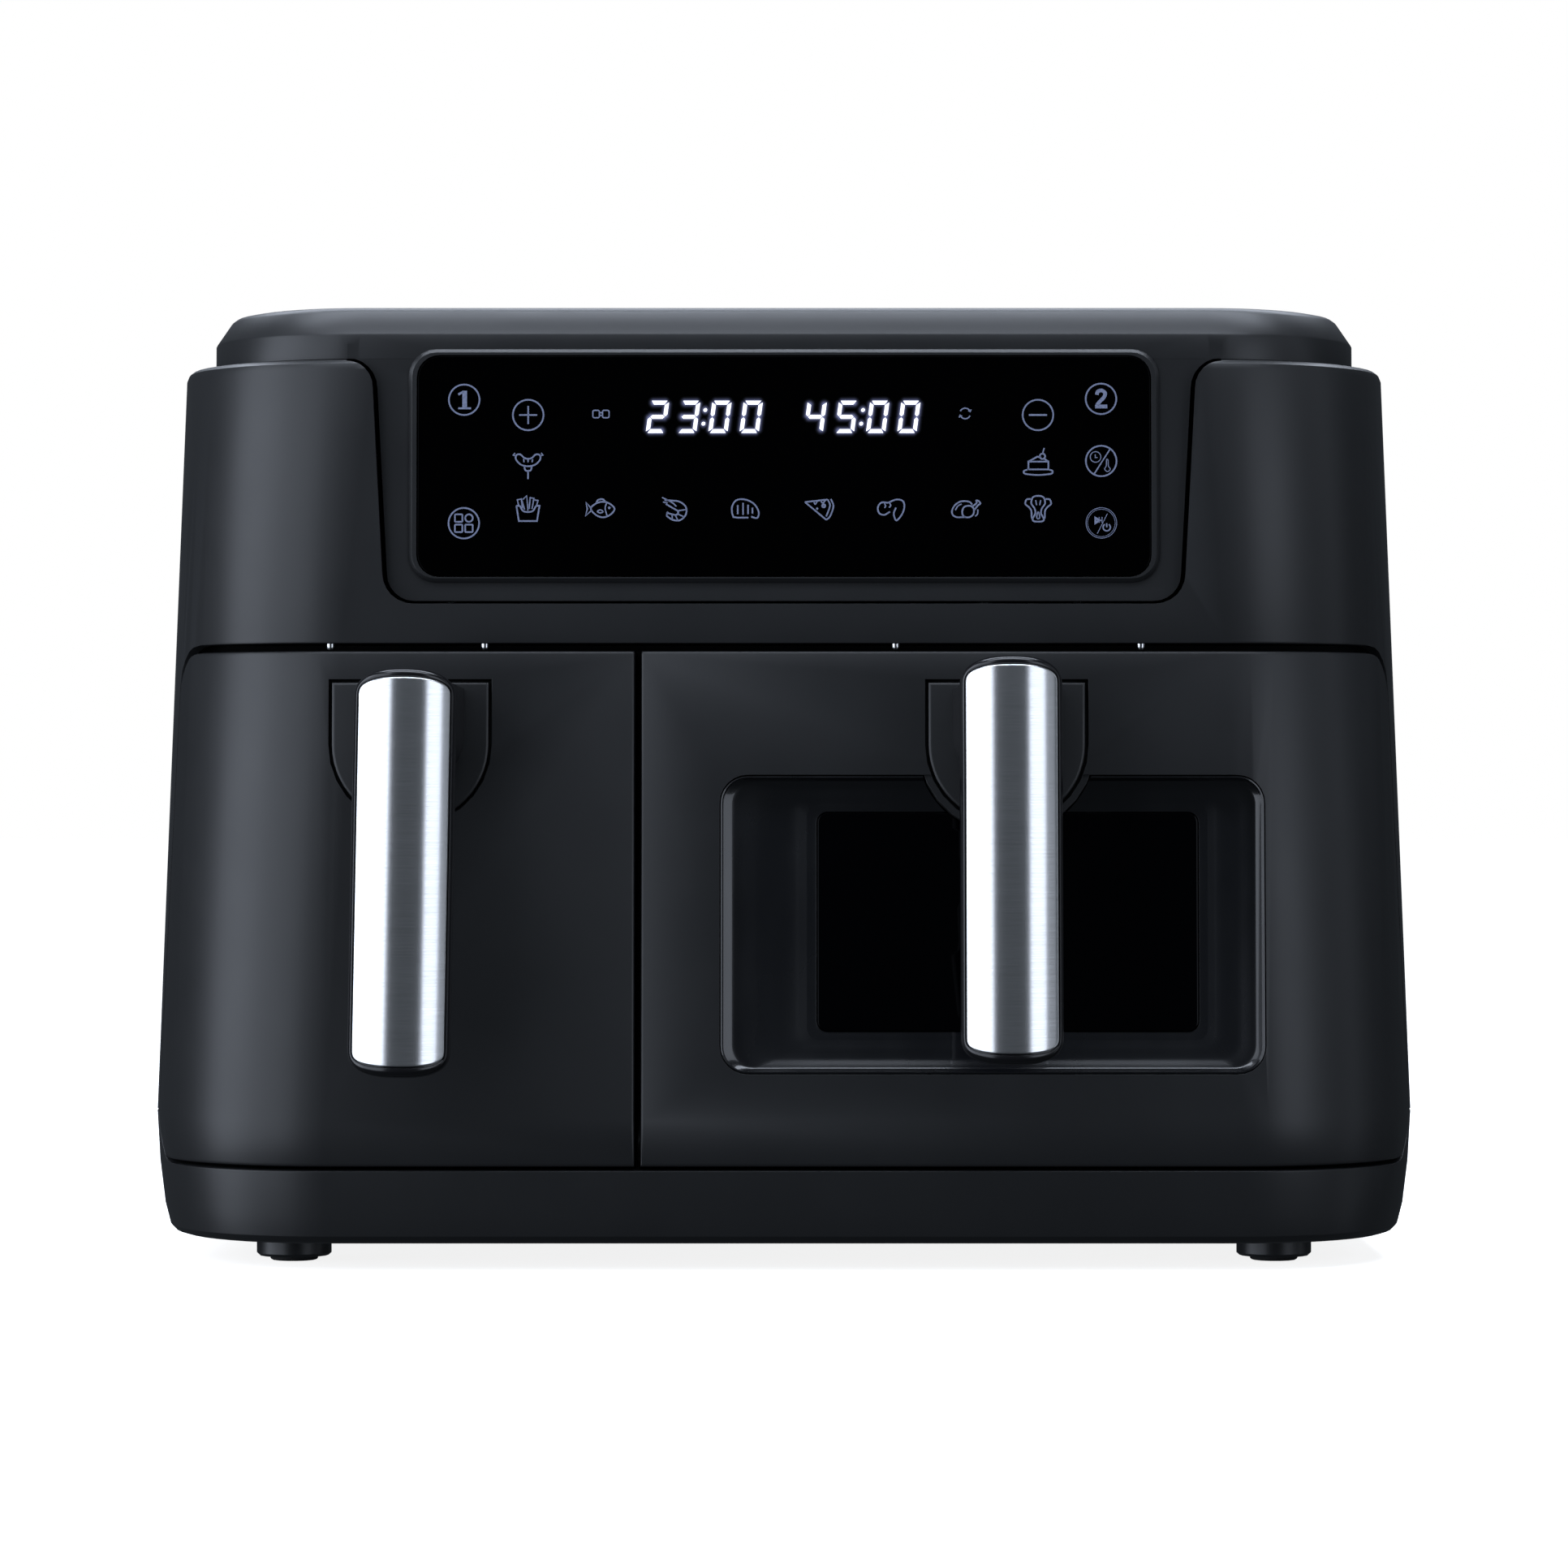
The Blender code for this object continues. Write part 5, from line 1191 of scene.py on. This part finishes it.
# The frame's rim, as depths and growths, and its steps down to the glass, with their depths past the floor.
WINDOW_RIM = ((4.0, -0.3), (0.9, -0.3), (0.45, -0.4), (0.35, DISH_INSET))
WINDOW_STEPS = (
    (WINDOW_FLOOR, 0.14, -1.15),
    (WINDOW_STEP, 0.14, 0.2),
    (WINDOW_STEP, 0.28, -0.15),
    (WINDOW_STEP, 0.28, -0.7),
    (WINDOW_GLASS, 0.28, 0.8),
    (WINDOW_GLASS, 0.4, 0.35),
    (WINDOW_GLASS, 0.5, 0.3),
    (WINDOW_GLASS, 2.0, 0.3),
)
BEZEL_WALL = 2.0
# The pane's edge, as insets and depths past the dish's floor.
PANE_EDGE = ((0.7, -0.4), (0.25, -0.28), (0.0, 0.1), (0.0, 3.6))
NOTCH_GAP = 3.6


def dish_depth(share):
    """The dish's depth at a share of the way in: a lip, a slope, a shelf, a second slope and a level floor."""
    return WINDOW_DEPTH * np.interp(share, DISH_WAY, DISH_FALL)


def notched(name, levels, loop):
    """A skin through the window's rings, with room taken out of it round the handle's shield."""
    outline = u_outline(HANDLES["right"]["x"], SHIELD_RADIUS + NOTCH_GAP)
    skin = rings(name, laid(PANEL, np.stack(levels)), loop)
    return shaded(cut(skin, panel_rings("notch", [(outline, -10.0), (outline, 30.0)])), angle=32.0)


def window_bezel():
    """The smoked frame of the window: a rim, a concave wall, a stepped floor, and the back of the same."""
    hole, floor = np.array(WINDOW_HOLE), np.array(WINDOW_FLOOR)
    levels = [window_ring(WINDOW_HOLE, depth, grow) for depth, grow in WINDOW_RIM]
    for share in DISH_WAY[1:]:
        levels.append(window_ring(hole + (floor - hole) * share, dish_depth(share), DISH_INSET))
    levels += [window_ring(bounds, WINDOW_DEPTH + past, grow) for bounds, past, grow in WINDOW_STEPS]
    for share in (1.0, 0.6, 0.35):
        levels.append(window_ring(hole + (floor - hole) * share, dish_depth(share) + BEZEL_WALL, -0.3))
    levels += [window_ring(WINDOW_HOLE, depth, 3.2) for depth in (6.0, 4.0)]
    return notched("window_frame", levels, True)


def window_pane():
    """The outer pane, its face a little behind the frame, with a ground edge."""
    levels = [window_ring(WINDOW_GLASS, WINDOW_DEPTH + past, -inset) for inset, past in PANE_EDGE]
    return notched("window_pane", levels, False)


class FRYER_OT_window(bpy.types.Operator):
    """Makes the baking window in the right drawer: smoked frame, outer pane, inner pane and its seal"""

    bl_idname = "fryer.window"
    bl_label = "Window"

    def execute(self, context):
        body = "right_drawer"
        placed(window_bezel(), body, "smoked_plastic", "smoked_plastic", "window_bezel")
        placed(window_pane(), body, "window_glass", "window_glass", "window_glass")
        dressed("inner_window_glass", body, "clear_glass", 0.3, "window_glass")
        dressed("window_seal", body, "silicone", 0.4)
        return {"FINISHED"}


# What is inside.


ROD_HEIGHT = 176.0
ROD_GAP = 12.0
ROD_BEND = 5.0


def rod(name, side):
    """A heating rod: a circle carried round a ring and up through the roof, square to its path."""
    middle, radius = side["centre"], side["ring"]
    gap = math.asin(ROD_GAP / radius)
    turn = np.linspace(math.pi / 2.0 + gap, math.pi / 2.0 + math.tau - gap, 121)
    plan = np.stack([middle + radius * np.cos(turn), FAN_AXIS + radius * np.sin(turn)], -1)
    loop = np.concatenate([plan, np.full((121, 1), ROD_HEIGHT)], 1)
    rise = np.array((0.0, 0.0, 1.0))
    bend = np.linspace(0.0, math.pi / 2.0, 7)[1:]
    ends = []
    for index, ahead in ((0, 1), (-1, -2)):
        along = loop[index] - loop[ahead]
        along /= np.linalg.norm(along)
        curve = loop[index] + np.sin(bend)[:, None] * along + ROD_BEND * (1.0 - np.cos(bend))[:, None] * rise
        ends.append(np.concatenate([curve, curve[-1] + rise * np.array((10.0, 20.0, 31.0))[:, None]]))
    path = np.concatenate([ends[0][::-1], loop, ends[1]])
    along = np.gradient(path, axis=0)
    along /= np.linalg.norm(along, axis=1, keepdims=True)
    outward = path - np.array((middle, FAN_AXIS, 0.0))
    outward[:, 2] = 0.0
    outward -= along * (outward * along).sum(1, keepdims=True)
    outward /= np.linalg.norm(outward, axis=1, keepdims=True)
    across = np.cross(along, outward)
    around = np.linspace(0.0, math.tau, 16, endpoint=False)[None, :, None]
    size = sizes().rod / MM
    points = path[:, None] + size * (np.cos(around) * outward[:, None] + np.sin(around) * across[:, None])
    return shaded(rings(name, points), angle=40.0)


# Each oven's fixed pieces, with their finish and edge, and the pieces that turn with its fan.
OVEN = (
    ("_chamber", "sheet_steel", 0.3),
    ("_element_guard", "sheet_steel", 0.25),
    ("_motor_bracket", "sheet_steel", 0.3),
    ("_fan_motor", "cast_aluminium", 0.6),
    ("_temperature_probe", "bright_steel", 0.25),
)
ROTOR = (("_hot_fan", "cast_aluminium"), ("_cooling_fan", "cast_aluminium"), ("_motor_shaft", "bright_steel"))


class FRYER_OT_ovens(bpy.types.Operator):
    """Makes both ovens: chamber, guard, heating rod, motor, bracket, probe and the turning fans"""

    bl_idname = "fryer.ovens"
    bl_label = "Ovens"

    def execute(self, context):
        for name, side in SIDES.items():
            for node, look, edge in OVEN:
                dressed(name + node, "housing", look, edge)
            heater = rod(name + "_heating_rod", side)
            placed(heater, "housing", "bright_steel", "bright_steel", name + "_heating_element")
            for node, look in ROTOR:
                dressed(name + node, name + "_fan", look, 0.25)
        return {"FINISHED"}


BUMPER_HALF = 7.0
BUMPER_THICK = 1.7
# A bumper's insets and heights, and where it stands on the plate's sides, front and back.
BUMPER_EDGE = ((1.0, 53.2), (0.35, 53.6), (0.0, 54.6), (0.0, 58.6), (0.35, 59.6), (1.0, 60.0))
BUMPER_SIDE = 21.0
BUMPER_ENDS = (-90.8, 134.3)


def bumper(x, y, wide, deep):
    """A silicone bumper: a rounded block clipped over the plate's edge, given by its middle and half sizes."""
    levels = []
    for inset, z in BUMPER_EDGE:
        w, d = wide - inset, deep - inset
        plan = rounded(x - w, x + w, y - d, y + d, max(1.4 - inset, 0.3), 5)
        levels.append(np.concatenate([plan, np.full((len(plan), 1), z)], 1))
    return rings("bumper", np.stack(levels))


class FRYER_OT_pans(bpy.types.Operator):
    """Makes the pans and crisper plates, with a silicone bumper on each side of a plate"""

    bl_idname = "fryer.pans"
    bl_label = "Pans and plates"

    def execute(self, context):
        for name, side in SIDES.items():
            dressed(name + "_pan", name + "_drawer", "nonstick_coating", 0.4)
            dressed(name + "_crisper_plate", name + "_plate", "nonstick_coating", 0.35)
            middle, reach = side["centre"], side["plate"] + 0.1
            ends = (middle - reach, middle + reach)
            parts = [bumper(x, BUMPER_SIDE, BUMPER_THICK, BUMPER_HALF) for x in ends]
            parts += [bumper(middle, y, BUMPER_HALF, BUMPER_THICK) for y in BUMPER_ENDS]
            bumpers = shaded(join_meshes(name + "_plate_bumpers", parts), angle=40.0)
            placed(bumpers, name + "_plate", "silicone", "silicone")
        return {"FINISHED"}


ELECTRONICS = (
    ("display_module", "black_plastic", 0.3),
    ("control_board", "circuit_board", 0.2),
    ("power_board", "circuit_board", 0.3),
    ("left_drawer_sensor", "black_plastic", 0.3),
    ("right_drawer_sensor", "black_plastic", 0.3),
)


class FRYER_OT_electronics(bpy.types.Operator):
    """Makes the display's lamp block, the boards and the drawer sensors"""

    bl_idname = "fryer.electronics"
    bl_label = "Electronics"

    def execute(self, context):
        for node, look, edge in ELECTRONICS:
            dressed(node, "housing", look, edge)
        return {"FINISHED"}


# A guide pin's outline as radii and heights, its face down.
PIN_FACE = ((0.0, 197.7), (0.6, 197.72), (1.05, 197.9), (1.3, 198.3), (1.35, 198.8), (1.35, 202.9))
PIN_HEAD = ((2.4, 202.9), (2.4, 204.8), (2.2, 205.0), (0.0, 205.0))
FITTINGS = (
    ("rear_cover_screw_left", "bright_steel", 0.2),
    ("rear_cover_screw_right", "bright_steel", 0.2),
    ("cord_gland", "rubber", 0.5),
    ("foot_pad_front_left", "rubber", 0.3),
    ("foot_pad_front_right", "rubber", 0.3),
    ("foot_pad_rear_left", "rubber", 0.3),
    ("foot_pad_rear_right", "rubber", 0.3),
)


class FRYER_OT_fittings(bpy.types.Operator):
    """Makes the small fittings: guide pins, rear screws, cord gland and feet"""

    bl_idname = "fryer.fittings"
    bl_label = "Fittings"

    def execute(self, context):
        for number in (1, 2, 3, 4):
            node = "guide_pin_%d" % number
            low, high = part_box(node)
            place = Matrix.Translation(((low.x + high.x) / 2.0 / MM, (low.y + high.y) / 2.0 / MM, 0.0))
            pin = shaded(turned("guide_pin_turned_%d" % number, PIN_FACE + PIN_HEAD, place, 20))
            placed(pin, "housing", "bright_steel", "bright_steel", node)
        for node, look, edge in FITTINGS:
            dressed(node, "housing", look, edge)
        return {"FINISHED"}


# The studio.


LAMP_AIM = Vector((0.0, -0.15, 0.15))
LAMP_DISTANCE = 2.2
LAMP_COLOUR = (0.8, 0.87, 1.0)
FLOOR_RADII = (0.0, 0.4, 1.0, 2.5, 6.0, 14.0)
FLOOR_SIDES = 64
# The world as the camera sees it, and as it lights the pieces.
BACKDROP = ((1.0, 1.0, 1.0, 1.0), 1.0)
FILL = ((0.75, 0.87, 1.0, 1.0), 0.045)
LENS = 130.25
SENSOR = 36.0
CAMERA_DISTANCE = 1.8
CAMERA_HEIGHT = 0.155
# Each softbox: its name, bearing from the front, height angle, both in degrees, width, height and radiance.
SOFTBOXES = (
    ("left_side_softbox", -80.0, 8.0, 1.1, 2.6, 2.75),
    ("left_front_softbox", -47.0, 8.0, 1.6, 2.6, 1.7),
    ("right_front_softbox", 44.0, 8.0, 1.0, 1.7, 1.55),
    ("right_side_softbox", 66.0, 8.0, 0.72, 2.6, 0.28),
    ("right_rear_softbox", 90.0, 8.0, 0.4, 2.6, 0.65),
    ("overhead_front_softbox", 0.0, 64.0, 2.6, 0.62, 5.7),
    ("overhead_rear_softbox", 0.0, 100.0, 2.6, 0.4, 11.3),
    ("rear_softbox", 0.0, 134.0, 2.4, 0.9, 4.2),
)


def softbox(name, bearing, rise, wide, tall, radiance):
    """A soft rectangular lamp on a sphere about the object, facing it. Power is pi times radiance times area."""
    lamp = bpy.data.lights.new(name, "AREA")
    lamp.shape = "RECTANGLE"
    lamp.size = wide
    lamp.size_y = tall
    lamp.energy = math.pi * radiance * wide * tall
    lamp.color = LAMP_COLOUR
    across, up = math.radians(bearing), math.radians(rise)
    ray = Vector((math.sin(across) * math.cos(up), -math.cos(across) * math.cos(up), math.sin(up)))
    made = linked(name, lamp)
    made.location = LAMP_AIM + ray * LAMP_DISTANCE
    made.rotation_euler = ray.to_track_quat("Z", "Y").to_euler()
    made.visible_camera = False


def studio_floor():
    """A round floor: rings about the middle, x is r cos t and y is r sin t, just under the feet."""
    radius = np.array(FLOOR_RADII)[:, None] / MM
    turn = np.linspace(0.0, math.tau, FLOOR_SIDES, endpoint=False)
    level = np.full((len(FLOOR_RADII), FLOOR_SIDES), -0.1)
    points = np.stack([radius * np.cos(turn), radius * np.sin(turn), level], -1)
    floor = build("studio_floor", points, grid_faces(*level.shape))
    if floor.data.polygons[0].normal.z < 0.0:
        floor.data.flip_normals()
    floor.data.materials.append(finish("studio_floor"))
    floor.visible_diffuse = floor.visible_glossy = floor.visible_shadow = False


def studio_world():
    """A white world to the camera, and a dim cool one to the pieces."""
    world = bpy.data.worlds.new("studio")
    world.use_nodes = True
    tree = world.node_tree
    shown = tree.nodes["Background"]
    dim = tree.nodes.new("ShaderNodeBackground")
    for node, (colour, strength) in ((shown, BACKDROP), (dim, FILL)):
        node.inputs["Color"].default_value = colour
        node.inputs["Strength"].default_value = strength
    path = tree.nodes.new("ShaderNodeLightPath")
    mix = tree.nodes.new("ShaderNodeMixShader")
    tree.links.new(path.outputs["Is Camera Ray"], mix.inputs["Fac"])
    tree.links.new(dim.outputs["Background"], mix.inputs[1])
    tree.links.new(shown.outputs["Background"], mix.inputs[2])
    tree.links.new(mix.outputs["Shader"], tree.nodes["World Output"].inputs["Surface"])
    return world


def studio_camera():
    """A long lens, level, straight before the face."""
    lens = bpy.data.cameras.new("studio_camera")
    lens.lens = LENS
    lens.sensor_width = SENSOR
    lens.clip_start, lens.clip_end = 0.05, 50.0
    camera = linked("studio_camera", lens)
    camera.location = (0.0, FRONT * MM - CAMERA_DISTANCE, CAMERA_HEIGHT)
    camera.rotation_euler = (math.radians(90.0), 0.0, 0.0)
    return camera


class FRYER_OT_stage(bpy.types.Operator):
    """Makes the pale floor, the soft studio light and the camera"""

    bl_idname = "fryer.stage"
    bl_label = "Studio"

    def execute(self, context):
        scene = context.scene
        studio_floor()
        scene.view_settings.view_transform = "Standard"
        scene.world = studio_world()
        for settings in SOFTBOXES:
            softbox(*settings)
        scene.camera = studio_camera()
        return {"FINISHED"}


OPERATORS = (
    FRYER_OT_stage,
    FRYER_OT_housing,
    FRYER_OT_display,
    FRYER_OT_drawer_fronts,
    FRYER_OT_handles,
    FRYER_OT_window,
    FRYER_OT_ovens,
    FRYER_OT_pans,
    FRYER_OT_electronics,
    FRYER_OT_fittings,
)


class FRYER_PT_pieces(bpy.types.Panel):
    """Lists what can be made, with its sizes and colours"""

    bl_idname = "FRYER_PT_pieces"
    bl_label = "Air fryer"
    bl_space_type = "VIEW_3D"
    bl_region_type = "UI"
    bl_category = "Air fryer"

    def draw(self, context):
        for group in (context.scene.fryer_sizes, context.scene.fryer_colours):
            box = self.layout.box()
            for key in group.__annotations__:
                box.prop(group, key)
        for operator in OPERATORS:
            self.layout.operator(operator.bl_idname)


CLASSES = (FryerSizes, FryerColours, *OPERATORS, FRYER_PT_pieces)


def register():
    for found in CLASSES:
        bpy.utils.register_class(found)
    bpy.types.Scene.fryer_sizes = PointerProperty(type=FryerSizes)
    bpy.types.Scene.fryer_colours = PointerProperty(type=FryerColours)


def unregister():
    del bpy.types.Scene.fryer_colours
    del bpy.types.Scene.fryer_sizes
    for found in reversed(CLASSES):
        bpy.utils.unregister_class(found)


def main():
    register()
    for operator in OPERATORS:
        group, name = operator.bl_idname.split(".")
        getattr(getattr(bpy.ops, group), name)()
    bpy.context.view_layer.update()


if __name__ == "__main__":
    main()
